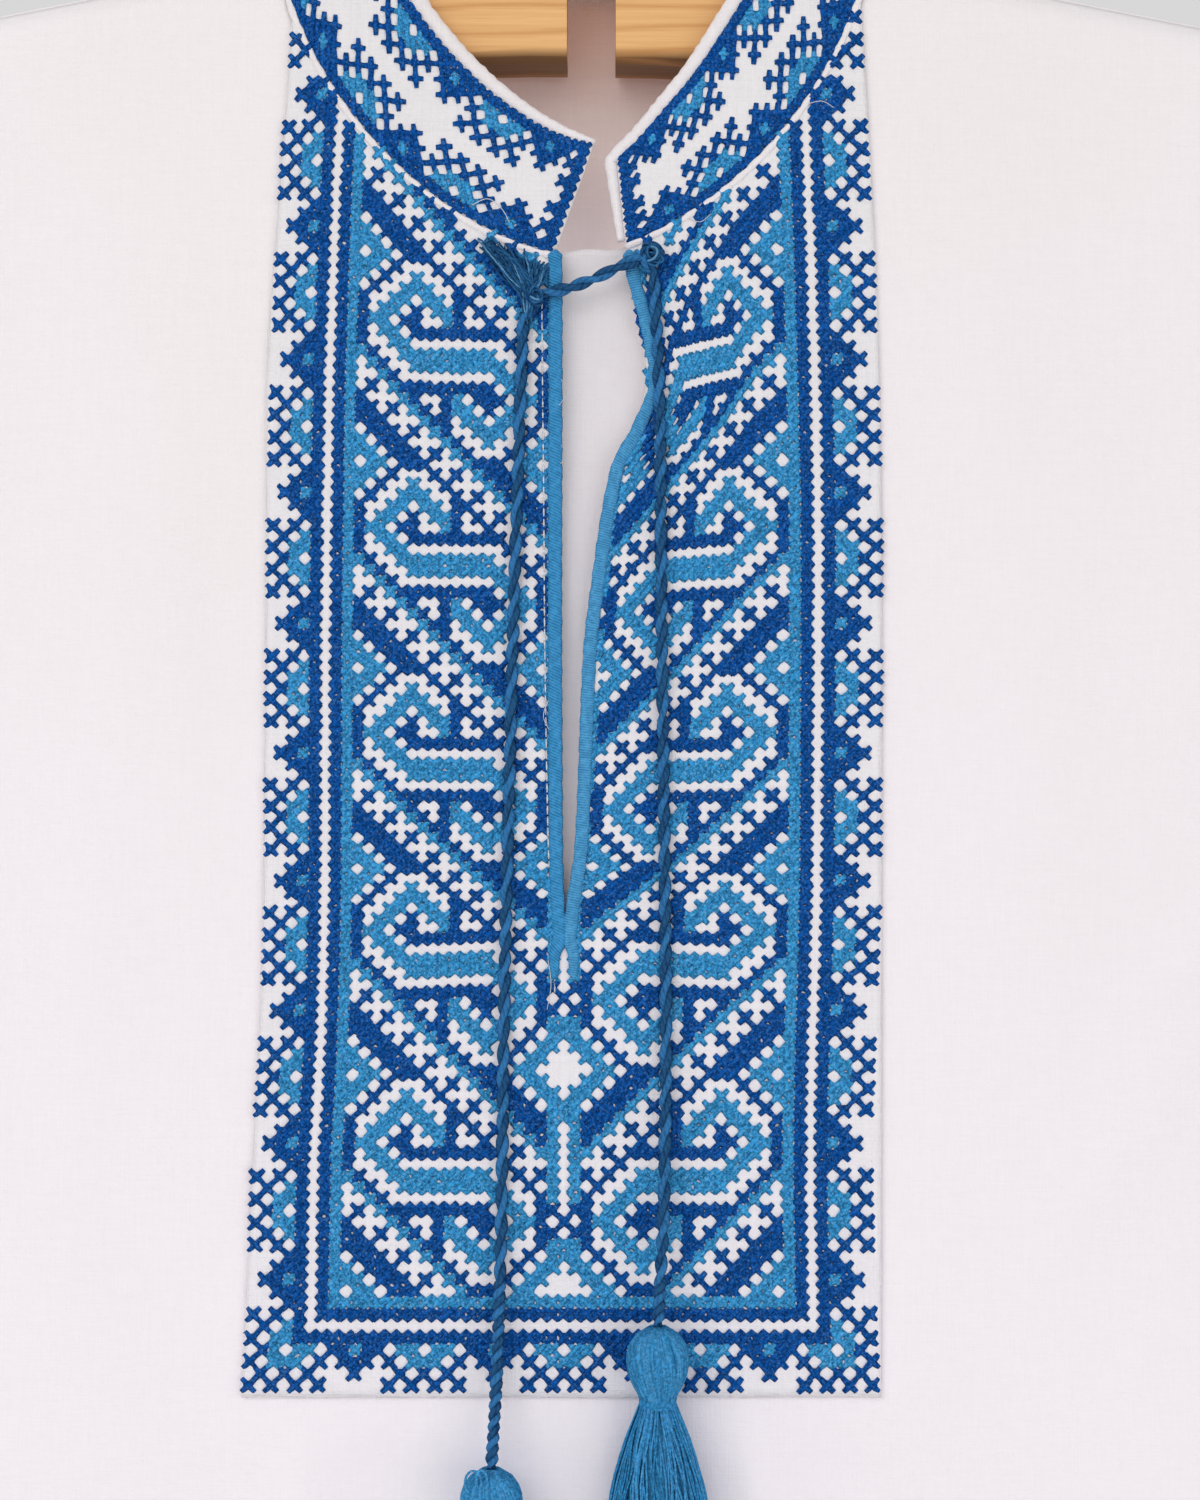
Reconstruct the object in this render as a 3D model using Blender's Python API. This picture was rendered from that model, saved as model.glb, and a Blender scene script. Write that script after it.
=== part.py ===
"""Embroidered folk shirt with a stand-up collar and a tasselled cord, on a wooden hanger.

Metres, +Z up, the front faces -Y, and left and right are as seen from the front.
The origin is the inner top of the hanger's hook. The shirt's own places are measured
from its front neck point, where the neckline meets the slit at the centre front.
"""
import math
from collections import namedtuple

import bmesh
import bpy
from mathutils import Vector

# Where the shirt hangs under the hook: its front neck point
NECK_POINT = Vector((-0.005, 0.0, -0.175))

# Cloth and seams
CLOTH = 0.0012
GAP = 0.0003
EDGE_GAP = 0.00025
APPLIED = 0.0010

# How near counts as on an edge, the step that finds a surface's slope, and the angle
# above which an edge is drawn sharp
AT_EDGE = 1e-6
NORMAL_STEP = 0.0004
SHARP_DEGREES = 40

# Neckline: half width and height of the side neck points, and how square the curve is
NECK_HALF = 0.084
NECK_RISE = 0.090
NECK_POWER = 1.65
BACK_NECK_RISE = 0.084

# Shoulders: slope, hump of the ridge between the side neck points, and rounding over the board
SHOULDER_SLOPE = 0.20
RIDGE_HUMP = NECK_HALF * SHOULDER_SLOPE / 2
RIDGE_DROP = 0.011
SHOULDER_TIP_X = 0.235
SHOULDER_TIP_Z = NECK_RISE - SHOULDER_SLOPE * (SHOULDER_TIP_X - NECK_HALF)

# Armhole, hem and the applied panel's lower edge
UNDERARM_Z = -0.182
ARMHOLE_DEPTH = 0.022
HEM_Z = -0.670
PANEL_LOW_Z = -0.318

Section = namedtuple("Section", "height half_width depth squareness")
BODY_SECTIONS = (
    Section(-0.670, 0.275, 0.034, 5),
    Section(-0.560, 0.268, 0.034, 5),
    Section(-0.450, 0.260, 0.033, 6),
    Section(-0.300, 0.245, 0.030, 6),
    Section(-0.182, 0.232, 0.025, 7),
    Section(-0.130, 0.228, 0.022, 8),
    Section(-0.060, 0.226, 0.019, 10),
    Section(0.020, 0.230, 0.016, 15),
    Section(0.059, 0.235, 0.015, 18),
    Section(0.100, 0.235, 0.015, 18),
)

# Slit down the front, and the applied panel's half width, by height
SlitRow = namedtuple("SlitRow", "height left right")
SLIT_EDGES = (
    SlitRow(-0.3180, -0.0050, 0.0050),
    SlitRow(-0.2400, -0.0050, 0.0035),
    SlitRow(-0.1870, -0.0023, -0.0011),
    SlitRow(-0.1670, -0.0040, 0.0006),
    SlitRow(-0.1110, -0.0046, 0.0047),
    SlitRow(-0.0610, -0.0050, 0.0103),
    SlitRow(-0.0360, -0.0053, 0.0205),
    SlitRow(0.0000, -0.0056, 0.0148),
)
PanelRow = namedtuple("PanelRow", "height half_width")
PANEL_EDGES = (
    PanelRow(-0.318, 0.0870),
    PanelRow(-0.170, 0.0864),
    PanelRow(-0.040, 0.0862),
    PanelRow(0.030, 0.0830),
    PanelRow(0.072, 0.0805),
)

# Columns of the front from the slit to the panel's edge, then from there to the side
PANEL_SHARES = (0.0, 0.043, 0.20, 0.38, 0.57, 0.77, 1.0)
SideColumn = namedtuple("SideColumn", "at_top lower")
SIDE_COLUMNS = (
    SideColumn(0.0162, 0.045),
    SideColumn(0.0214, 0.090),
    SideColumn(0.0227, 0.140),
    SideColumn(0.18, 0.29),
    SideColumn(0.36, 0.45),
    SideColumn(0.54, 0.61),
    SideColumn(0.70, 0.76),
    SideColumn(0.84, 0.885),
    SideColumn(0.94, 0.960),
    SideColumn(0.985, 0.994),
    SideColumn(1.0, 1.0),
)
COLUMN_SETTLE = 0.120

# Rows, as shares of the way from the top edge to the panel's lower edge, then to the hem
FRONT_ROWS = (0.0, 0.0045, 0.014, 0.032, 0.08, 0.16, 0.25, 0.34, 0.43, 0.51, 0.588,
              0.6393, 0.73, 0.82, 0.91, 1.0)
BACK_ROWS = (0.0, 0.0045, 0.014, 0.032, 0.09, 0.19, 0.30, 0.42, 0.53, 0.6393, 0.80, 1.0)
SLIT_END_ROW = 10
ROWS_TO_HEM = 6

# Columns of the back, from the centre to the side neck point, then along the shoulder
BACK_NECK_X = (0.0, 0.026, 0.050, 0.064, 0.074, 0.080, 0.083, 0.084)
BACK_SIDE_SHARES = (0.20, 0.40, 0.60, 0.77, 0.90, 0.97, 0.995, 1.0)
BACK_NECK_SHARE = 0.42

# Side columns of the front whose upper ends lie on the neckline, and the underlay's columns
COLUMNS_AT_NECK = 3
UNDERLAY_COLUMNS = 4

# Folds: waves that grow towards the hem, each with its spacing, its shift, and how much
# and over what width the spacing varies
HEM_WAVE = 0.0090
WAVE_START_Z = -0.34
Wave = namedtuple("Wave", "spacing shift sway sway_width")
FRONT_WAVE = Wave(0.148, 0.012, 0.6, 0.09)
BACK_WAVE = Wave(0.162, -0.030, 0.7, 0.11)

# Slanting drapes beside the panel and down the back: height, width and length of one fold,
# and how far from the middle they begin and are full
Drape = namedtuple("Drape", "height width length begins full")
FRONT_DRAPE = Drape(0.0022, 0.030, 0.11, 0.09, 0.17)
BACK_DRAPE = Drape(0.0025, 0.034, -0.13, 0.05, 0.15)

# The panel's lifted edge right of the slit
LIFT_HEIGHT = 0.0024
LIFT_X = 0.036
LIFT_Z = -0.042
LIFT_HALF_WIDTH = 0.016
LIFT_HALF_HEIGHT = 0.040

# Below the shoulder ridge, the cloth is stiff at first and folds further down
STIFF_BELOW = 0.015
FREE_BELOW = 0.060

# Collar band
COLLAR_HEIGHT = 0.0335
COLLAR_WALL = 0.0008
COLLAR_COLUMNS = 44
COLLAR_ROWS = 2
COLLAR_SEAM = 0.0009
SEAM_POINTS = 121
LeanRow = namedtuple("LeanRow", "along left right back")
COLLAR_LEAN = (
    LeanRow(0.00, 19.4, 6.0, 0.06),
    LeanRow(0.15, 34.0, 22.0, 0.03),
    LeanRow(0.35, 38.5, 33.0, 0.00),
    LeanRow(0.48, 34.0, 33.0, 0.00),
    LeanRow(0.58, 21.0, 21.0, 0.00),
    LeanRow(0.72, 11.0, 11.0, -0.05),
    LeanRow(1.00, 0.0, 0.0, -0.10),
)
PIPING_RADIUS = 0.0012
PIPING_SEAM = 0.0006
PIPING_TURN = 1.35
PIPING_CORNER = 0.85
PIPING_END_SHARES = (0.8, 0.55, 0.3, 0.08)
BACK_CENTRE_OUT = Vector((0.0, 1.0, 0.1)).normalized()
PIPING_BESIDE = Vector((-1.0, 0.0, 0.12)).normalized()

# Sleeves: outer and inner edge seen from the front, and half depth, along the sleeve
SleeveRow = namedtuple("SleeveRow", "along outer_x outer_z inner_x inner_z depth")
SLEEVE_SECTIONS = (
    SleeveRow(0.00, 0.235, 0.059, 0.232, -0.182, 0.022),
    SleeveRow(0.12, 0.268, 0.008, 0.239, -0.208, 0.027),
    SleeveRow(0.28, 0.304, -0.072, 0.248, -0.245, 0.030),
    SleeveRow(0.45, 0.336, -0.170, 0.260, -0.300, 0.029),
    SleeveRow(0.62, 0.362, -0.280, 0.273, -0.370, 0.026),
    SleeveRow(0.80, 0.388, -0.400, 0.286, -0.455, 0.022),
    SleeveRow(1.00, 0.412, -0.520, 0.298, -0.548, 0.018),
)
SLEEVE_SIDES = 18
SLEEVE_RINGS = 11
SLEEVE_FOLD = 0.0035
SLEEVE_FOLDS = 3
SLEEVE_TWIST = 5
SLEEVE_FOLDS_GROW = 4
SLEEVE_FOLDS_FULL = 1 / 1.6
ARMHOLE_GAP = 0.0011

# Cord, knots and tassels: places measured from the front neck point, x then z
CORD_RADIUS = 0.0015
CORD_LIFT = 0.0034
BRIDGE_LIFT = 0.0046
LEFT_TAIL = ((-0.0140, -0.0155), (-0.0150, -0.045), (-0.0170, -0.097), (-0.0186, -0.153),
             (-0.0203, -0.208), (-0.0211, -0.264), (-0.0221, -0.307), (-0.0236, -0.3340))
RIGHT_TAIL = ((0.0225, -0.0040), (0.0242, -0.042), (0.0247, -0.097), (0.0253, -0.153),
              (0.0258, -0.208), (0.0251, -0.262), (0.0232, -0.2958))
BRIDGE = ((-0.0090, -0.0108), (-0.0040, -0.0100), (0.0060, -0.0065), (0.0130, -0.0030),
          (0.0172, -0.0010))
TAIL_POINTS = {"left": 38, "right": 34}
BRIDGE_POINTS = 9
ROUTE_STEPS = 12
TAIL_HALFWAY = 0.4
Knot = namedtuple("Knot", "x z half_width half_height lift")
KNOTS = {"left": Knot(-0.0132, -0.0108, 0.0038, 0.0040, 0.0043),
         "right": Knot(0.0216, 0.0005, 0.0038, 0.0040, 0.0050)}
KNOT_DEPTH = 0.0024
KNOT_SIDES = 10
KNOT_RINGS = 6
TASSEL_CLEAR = 0.0010
TASSEL_LIFT = 0.0130

ProfileRow = namedtuple("ProfileRow", "radius drop")
TASSEL_HEAD = (
    ProfileRow(0.0022, 0.0000), ProfileRow(0.0056, 0.0016), ProfileRow(0.0080, 0.0058),
    ProfileRow(0.0084, 0.0105), ProfileRow(0.0074, 0.0155), ProfileRow(0.0050, 0.0192),
    ProfileRow(0.0048, 0.0212), ProfileRow(0.0066, 0.0240),
)
TASSEL_SIDES = 10
TASSEL_ROOTS = (0.0046, 0.0025)
STRAND_LENGTH = 0.046
STRAND_STEPS = 2
STRAND_SPREAD = 0.75
STRAND_FLARE = 1.3
STRAND_STRAIGHTEN = 0.6
STRAND_INSET = 0.00018

# Hanger board and hook
HANGER_X = 0.005
BOARD_HALF_LENGTH = 0.200
BOARD_HALF_DEPTH = 0.011
BOARD_HEIGHT = 0.0380
BOARD_TIP_HEIGHT = 0.0280
BOARD_UNDER_CLOTH = CLOTH + 0.0009
BOARD_CROWN = 0.008
BOARD_FOOT = 0.004
BOARD_FOOT_CUT = 0.3 * BOARD_FOOT
BOARD_TAPER = 1.5
BOARD_STATIONS = 22
CROWN_STEPS = 4
NOTCH_HALF = 0.007
NOTCH_TOP_Z = 0.083
NOTCH_LOW_Z = 0.0
NOTCH_REACH = 0.05
WIRE_RADIUS = 0.0018
HOOK_RADIUS = 0.0220
HOOK_TURN_START = -62
HOOK_TURN_END = 205
HOOK_STEM = (0.0, 0.008, 0.018)
HOOK_SWING_RISE = 0.024
HOOK_SWING_SHARE = 0.55
HOOK_STEM_POINTS = 7
HOOK_TURN_POINTS = 20


def smooth_read(rows, key, value, at):
    """Reads a table between its rows, on a smooth curve through them."""
    places = [getattr(row, key) for row in rows]
    values = [getattr(row, value) for row in rows]
    if at <= places[0]:
        return values[0]
    if at >= places[-1]:
        return values[-1]
    steps = range(len(rows) - 1)
    span = next(i for i in steps if at <= places[i + 1])
    slopes = [(values[i + 1] - values[i]) / (places[i + 1] - places[i]) for i in steps]

    def tangent(i):
        if i == 0 or i == len(slopes):
            return slopes[min(i, len(slopes) - 1)]
        if slopes[i - 1] * slopes[i] <= 0:
            return 0.0
        return 2 * slopes[i - 1] * slopes[i] / (slopes[i - 1] + slopes[i])

    width = places[span + 1] - places[span]
    t = (at - places[span]) / width
    rise = values[span + 1] - values[span]
    ease = t * t * (3 - 2 * t)
    bend = t * (1 - t) * ((1 - t) * tangent(span) - t * tangent(span + 1)) * width
    return values[span] + rise * ease + bend


def blend(first, second, share):
    return first + (second - first) * share


def smooth_step(low, high, at):
    share = min(max((at - low) / (high - low), 0.0), 1.0)
    return share * share * (3 - 2 * share)


def ridge_height(x):
    """Height of the shoulder ridge over the board, carried across the open neck."""
    across = abs(x)
    if across < NECK_HALF:
        return NECK_RISE + RIDGE_HUMP * (1 - (across / NECK_HALF) ** 2)
    return NECK_RISE - SHOULDER_SLOPE * (across - NECK_HALF)


def front_neckline(x):
    across = min(abs(x) / NECK_HALF, 1.0)
    return NECK_RISE * (1 - (1 - across ** NECK_POWER) ** (1 / NECK_POWER))


def back_neckline(x):
    across = min(abs(x) / NECK_HALF, 1.0)
    return BACK_NECK_RISE + (NECK_RISE - BACK_NECK_RISE) * across ** 3


def side_edge(height):
    return smooth_read(BODY_SECTIONS, "height", "half_width", height)


def armhole_depth(height):
    """Half depth of the armhole's opening, an ellipse from shoulder tip to underarm."""
    middle = (SHOULDER_TIP_Z + UNDERARM_Z) / 2
    half = (SHOULDER_TIP_Z - UNDERARM_Z) / 2
    share = min(abs(height - middle) / half, 1.0)
    return ARMHOLE_DEPTH * math.sqrt(1 - share * share)


def waves(x, height, wave):
    grow = smooth_step(WAVE_START_Z, HEM_Z, height) * HEM_WAVE
    sway = wave.sway * math.sin(x / wave.sway_width)
    return grow * math.cos(2 * math.pi * (x + wave.shift) / wave.spacing + sway)


def drapes(x, height, drape):
    slant = math.sin(abs(x) / drape.width + height / drape.length)
    return drape.height * slant * smooth_step(drape.begins, drape.full, abs(x))


def front_fold(x, height):
    """Waves and drapes of the front, and the lifted edge beside the slit."""
    lift = math.exp(-((x - LIFT_X) / LIFT_HALF_WIDTH) ** 2
                    - ((height - LIFT_Z) / LIFT_HALF_HEIGHT) ** 2)
    return waves(x, height, FRONT_WAVE) + drapes(x, height, FRONT_DRAPE) + LIFT_HEIGHT * lift


def back_fold(x, height):
    return waves(x, height, BACK_WAVE) + drapes(x, height, BACK_DRAPE)


def face_depth(x, height, fold):
    """Distance of the cloth's outer face from the middle plane."""
    below = max(ridge_height(x) - height, 0.0)
    over = math.sqrt(1 - (1 - min(below / RIDGE_DROP, 1.0)) ** 2)
    centre = smooth_read(BODY_SECTIONS, "height", "depth", height)
    share = min(abs(x) / side_edge(height), 1.0)
    edge = armhole_depth(height)
    free = 1 - share ** smooth_read(BODY_SECTIONS, "height", "squareness", height)
    calm = smooth_step(STIFF_BELOW, FREE_BELOW, below) * free
    depth = edge + (centre - edge) * math.sqrt(free)
    return depth * over + fold(x, height) * calm


def cloth_point(x, height, face):
    """Point of the outer face; face is -1 for the front and 1 for the back."""
    fold = front_fold if face < 0 else back_fold
    depth = max(face_depth(x, height, fold), EDGE_GAP)
    return Vector((x, face * depth, height))


def cloth_normal(x, height, face):
    """Outward direction at a point of the front or back; straight out at the very edges."""
    if abs(x) >= side_edge(height) - AT_EDGE and height < UNDERARM_Z + AT_EDGE:
        return Vector((math.copysign(1.0, x), 0.0, 0.0))
    if height >= ridge_height(x) - AT_EDGE:
        return Vector((math.copysign(SHOULDER_SLOPE, x), 0.0, 1.0)).normalized()
    inward = -math.copysign(NORMAL_STEP, x)
    here = cloth_point(x, height, face)
    across = cloth_point(x + inward, height, face) - here
    down = cloth_point(x, height - NORMAL_STEP, face) - here
    normal = across.cross(down).normalized()
    return normal if normal.y * face > 0 else -normal


def finish(name, bm, colour, roughness):
    """Makes an object of the given mesh, with its own material, in the shirt's place."""
    bmesh.ops.recalc_face_normals(bm, faces=bm.faces[:])
    if bm.calc_volume(signed=True) < 0:
        bmesh.ops.reverse_faces(bm, faces=bm.faces[:])
    mesh = bpy.data.meshes.new(name)
    bm.to_mesh(mesh)
    bm.free()
    body = bpy.data.objects.new(name, mesh)
    bpy.context.collection.objects.link(body)
    body.location = NECK_POINT
    paint(body, name, colour, roughness)
    mesh.shade_smooth()
    mesh.set_sharp_from_angle(angle=math.radians(SHARP_DEGREES))
    return body


def paint(body, name, colour, roughness, metallic=0.0):
    material = bpy.data.materials.new(name)
    material.use_nodes = True
    shader = material.node_tree.nodes["Principled BSDF"]
    shader.inputs["Base Color"].default_value = (*colour, 1.0)
    shader.inputs["Roughness"].default_value = roughness
    shader.inputs["Metallic"].default_value = metallic
    body.data.materials.append(material)


WHITE = (0.86, 0.85, 0.86)
PANEL_WHITE = (0.84, 0.83, 0.84)
BLUE = (0.05, 0.25, 0.50)
DARK_BLUE = (0.02, 0.10, 0.30)
PINE = (0.72, 0.45, 0.20)
STEEL = (0.60, 0.61, 0.62)


def cloth_wall(name, columns, rows, place, outside, inside, colour, is_cut=None):
    """A closed wall through a grid of places. Its faces lie outside and inside metres
    out along the normals that place(column, row) gives with each point."""
    bm = bmesh.new()
    column_of = bm.verts.layers.int.new("column")
    row_of = bm.verts.layers.int.new("row")
    bmesh.ops.create_grid(bm, x_segments=columns, y_segments=rows, size=1.0)
    for vert in bm.verts:
        vert[column_of] = round((vert.co.x + 1) * columns / 2)
        vert[row_of] = round((vert.co.y + 1) * rows / 2)
    if is_cut:
        cut = [face for face in bm.faces
               if is_cut(min(v[column_of] for v in face.verts), min(v[row_of] for v in face.verts))]
        bmesh.ops.delete(bm, geom=cut, context="FACES")
    first = set(bm.verts)
    bmesh.ops.extrude_face_region(bm, geom=bm.faces[:], use_keep_orig=True)
    for vert in bm.verts:
        point, normal = place(vert[column_of], vert[row_of])
        vert.co = point + normal * (inside if vert in first else outside)
    return finish(name, bm, colour, 0.9)


def slit_edge(side, height):
    return smooth_read(SLIT_EDGES, "height", side, height)


def panel_edge(height):
    return smooth_read(PANEL_EDGES, "height", "half_width", height)


def row_height(rows, top, row):
    """Height of a row on a column whose upper end is at the given height."""
    last = len(rows) - 1
    if row <= last:
        return blend(top, PANEL_LOW_Z, rows[row])
    return blend(PANEL_LOW_Z, HEM_Z, (row - last) / ROWS_TO_HEM)


def front_place(side, column, row):
    """Point and normal of the front, a column counted outwards from the slit."""
    name = "left" if side < 0 else "right"
    inner = len(PANEL_SHARES)
    if column < inner:
        share = PANEL_SHARES[column]
        top_x = blend(slit_edge(name, 0.0), side * PANEL_EDGES[-1].half_width, share)
        height = row_height(FRONT_ROWS, front_neckline(top_x), row)
        if row == 0:
            x = top_x
        else:
            x = blend(slit_edge(name, height), side * panel_edge(height), share)
    else:
        mark = SIDE_COLUMNS[column - inner]
        top_x = blend(PANEL_EDGES[-1].half_width, SHOULDER_TIP_X, mark.at_top)
        at_neck = top_x < NECK_HALF
        top = front_neckline(top_x) if at_neck else ridge_height(top_x)
        height = row_height(FRONT_ROWS, top, row)
        share = blend(mark.at_top, mark.lower, smooth_step(0.0, COLUMN_SETTLE, top - height))
        x = side * blend(panel_edge(height), side_edge(height), share)
        if row == 0:
            x = side * top_x
    return cloth_point(x, height, -1), cloth_normal(x, height, -1)


def front_columns():
    return len(PANEL_SHARES) + len(SIDE_COLUMNS)


def both_sides(half, place):
    """Reads one numbering across both sides: the left runs inwards, then the right outwards."""
    def read(column, row):
        if column < half:
            return place(-1, half - 1 - column, row)
        return place(1, column - half, row)
    return read


def above_slit_end(half):
    def is_cut(column, row):
        return column == half - 1 and row < SLIT_END_ROW
    return is_cut


def build_front():
    half = front_columns()
    rows = len(FRONT_ROWS) - 1 + ROWS_TO_HEM
    cloth_wall("front", 2 * half - 1, rows, both_sides(half, front_place), 0.0, -CLOTH,
               WHITE, above_slit_end(half))


def build_plastron():
    half = len(PANEL_SHARES)
    rows = len(FRONT_ROWS) - 1
    cloth_wall("plastron", 2 * half - 1, rows, both_sides(half, front_place),
               GAP + APPLIED, GAP, PANEL_WHITE, above_slit_end(half))


def build_slit_binding(name, side):
    low = GAP + APPLIED + GAP

    def place(column, row):
        return front_place(side, column, row)
    cloth_wall("slit_binding_" + name, 1, SLIT_END_ROW, place, low + APPLIED, low, BLUE)


def build_slit_underlay():
    place = both_sides(UNDERLAY_COLUMNS, front_place)
    cloth_wall("slit_underlay", 2 * UNDERLAY_COLUMNS - 1, SLIT_END_ROW + 1, place,
               -CLOTH - GAP, -CLOTH - GAP - APPLIED, WHITE)


def back_place(side, column, row):
    inner = len(BACK_NECK_X)
    if column < inner:
        top_x = BACK_NECK_X[column]
        top = back_neckline(top_x)
        share = BACK_NECK_SHARE * column / (inner - 1)
    else:
        at_top = BACK_SIDE_SHARES[column - inner]
        top_x = blend(NECK_HALF, SHOULDER_TIP_X, at_top)
        top = ridge_height(top_x)
        share = blend(BACK_NECK_SHARE, 1.0, at_top)
    height = row_height(BACK_ROWS, top, row)
    settle = smooth_step(0.0, COLUMN_SETTLE, top - height)
    x = blend(top_x / SHOULDER_TIP_X, share, settle) * side_edge(height)
    if row == 0:
        x = top_x
    return cloth_point(side * x, height, 1), cloth_normal(side * x, height, 1)


def build_back():
    half = len(BACK_NECK_X) + len(BACK_SIDE_SHARES)
    rows = len(BACK_ROWS) - 1 + ROWS_TO_HEM

    def place(column, row):
        across = column - (half - 1)
        side = -1 if across < 0 else 1
        return back_place(side, abs(across), row)
    cloth_wall("back", 2 * half - 2, rows, place, 0.0, -CLOTH, WHITE)


def sleeve_point(side, around, along):
    """Point of a sleeve's outer face. Around runs from 0 at the outer edge over the front
    to 0.5 at the inner edge and back behind; along runs from the armhole to the cuff."""
    angle = 2 * math.pi * around
    outer_x = smooth_read(SLEEVE_SECTIONS, "along", "outer_x", along)
    outer_z = smooth_read(SLEEVE_SECTIONS, "along", "outer_z", along)
    inner_x = smooth_read(SLEEVE_SECTIONS, "along", "inner_x", along)
    inner_z = smooth_read(SLEEVE_SECTIONS, "along", "inner_z", along)
    depth = smooth_read(SLEEVE_SECTIONS, "along", "depth", along)
    to_outer = (1 + math.cos(angle)) / 2
    x = blend(inner_x, outer_x, to_outer)
    z = blend(inner_z, outer_z, to_outer)
    straight = blend(SLEEVE_SECTIONS[0].inner_x, SLEEVE_SECTIONS[0].outer_x, to_outer)
    armhole_z = blend(UNDERARM_Z, SHOULDER_TIP_Z, to_outer)
    x += (side_edge(armhole_z) - straight) * (1 - along) ** 3 + ARMHOLE_GAP
    fold = SLEEVE_FOLD * math.sin(math.pi / 2 * min(along / SLEEVE_FOLDS_FULL, 1.0)) ** 2
    wave = math.cos(SLEEVE_FOLDS * angle + SLEEVE_TWIST * along)
    wave *= min(along * SLEEVE_FOLDS_GROW, 1.0)
    y = -math.sin(angle) * depth
    y += -math.copysign(1.0, math.sin(angle)) * fold * wave * abs(math.sin(angle))
    return Vector((side * x, y, z))


def build_sleeve(name, side):
    """A tube of rings drawn out from the armhole, with its wall inside the outer face."""
    bm = bmesh.new()
    around_of = bm.verts.layers.int.new("around")
    bmesh.ops.create_circle(bm, segments=SLEEVE_SIDES, radius=1.0)
    turns = sorted(bm.verts, key=lambda vert: math.atan2(vert.co.y, vert.co.x) % (2 * math.pi))
    for number, vert in enumerate(turns):
        vert[around_of] = number
    edges = bm.edges[:]
    for vert in bm.verts:
        vert.co = sleeve_point(side, vert[around_of] / SLEEVE_SIDES, 0.0)
    for ring in range(1, SLEEVE_RINGS + 1):
        drawn = bmesh.ops.extrude_edge_only(bm, edges=edges)["geom"]
        edges = [part for part in drawn if isinstance(part, bmesh.types.BMEdge)
                 and all(v in drawn for v in part.verts)]
        for vert in (part for part in drawn if isinstance(part, bmesh.types.BMVert)):
            vert.co = sleeve_point(side, vert[around_of] / SLEEVE_SIDES, ring / SLEEVE_RINGS)
    sleeve = finish(name, bm, WHITE, 0.9)
    wall = sleeve.modifiers.new("wall", "SOLIDIFY")
    wall.thickness = CLOTH
    wall.offset = -1.0


def seam_half(side):
    """The neck seam from the slit, over the side neck point, to the centre back."""
    to_side_neck = len(PANEL_SHARES) + COLUMNS_AT_NECK
    front = [front_place(side, column, 0)[0] for column in range(to_side_neck)]
    back = [back_place(side, column, 0)[0] for column in reversed(range(len(BACK_NECK_X) - 1))]
    return front + back


def resample(points, count):
    """The given number of points, evenly apart along a line."""
    lengths = [0.0]
    for first, second in zip(points, points[1:]):
        lengths.append(lengths[-1] + (second - first).length)
    result = []
    span = 0
    for number in range(count):
        target = lengths[-1] * number / (count - 1)
        while span < len(points) - 2 and lengths[span + 1] < target:
            span += 1
        share = (target - lengths[span]) / (lengths[span + 1] - lengths[span])
        result.append(points[span].lerp(points[span + 1], share))
    return result


def collar_frame(side, along):
    """Foot of the band, its upward direction and its outward direction at one place."""
    name = "left" if side < 0 else "right"
    line = resample(seam_half(side), SEAM_POINTS)
    here = round(along * (SEAM_POINTS - 1))
    number = min(here, SEAM_POINTS - 2)
    foot = line[here]
    tangent = (line[number + 1] - line[max(number - 1, 0)]).normalized()
    lean = math.radians(smooth_read(COLLAR_LEAN, "along", name, along))
    back = smooth_read(COLLAR_LEAN, "along", "back", along)
    upward = Vector((-side * math.sin(lean), back, math.cos(lean))).normalized()
    outward = (tangent.cross(upward) * side).normalized()
    return foot, upward, outward


def band_column(column):
    """The band's frame at one of its columns, from its left end round the back to its right."""
    half = COLLAR_COLUMNS // 2
    if column <= half:
        foot, upward, outward = collar_frame(-1, column / half)
    else:
        foot, upward, outward = collar_frame(1, 2 - column / half)
    if column == half:
        outward = BACK_CENTRE_OUT
    return foot, upward, outward


def build_collar():
    def place(column, row):
        foot, upward, outward = band_column(column)
        return foot + upward * (COLLAR_SEAM + COLLAR_HEIGHT * row / COLLAR_ROWS), outward
    cloth_wall("collar", COLLAR_COLUMNS, COLLAR_ROWS, place, COLLAR_WALL, -COLLAR_WALL,
               PANEL_WHITE)


def tube(name, points, radius, colour, roughness, resolution=2, metallic=0.0):
    """A round bar along the given points."""
    curve = bpy.data.curves.new(name, "CURVE")
    curve.dimensions = "3D"
    spline = curve.splines.new("POLY")
    spline.points.add(len(points) - 1)
    for target, point in zip(spline.points, points):
        target.co = (*point, 1.0)
    curve.bevel_depth = radius
    curve.bevel_resolution = resolution
    curve.use_fill_caps = True
    bar = bpy.data.objects.new(name, curve)
    bpy.context.collection.objects.link(bar)
    bar.location = NECK_POINT
    paint(bar, name, colour, roughness, metallic)
    return bar


def build_collar_piping():
    """The rolled edge along the band's top, which also runs down the band's right end."""
    rise = COLLAR_SEAM + COLLAR_HEIGHT + PIPING_SEAM + PIPING_RADIUS
    line = []
    for column in range(COLLAR_COLUMNS):
        foot, upward, _ = band_column(column)
        line.append(foot + upward * rise)
    foot, upward, _ = band_column(COLLAR_COLUMNS)
    beside = PIPING_BESIDE * (GAP + PIPING_RADIUS * PIPING_TURN)
    corner_drop = PIPING_RADIUS * (1 - PIPING_CORNER)
    line.append(foot + upward * (rise - corner_drop) + beside * PIPING_CORNER)
    for share in PIPING_END_SHARES:
        line.append(foot + upward * (COLLAR_SEAM + COLLAR_HEIGHT * share) + beside)
    tube("collar_piping", line, PIPING_RADIUS, WHITE, 0.8, 1)


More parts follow.
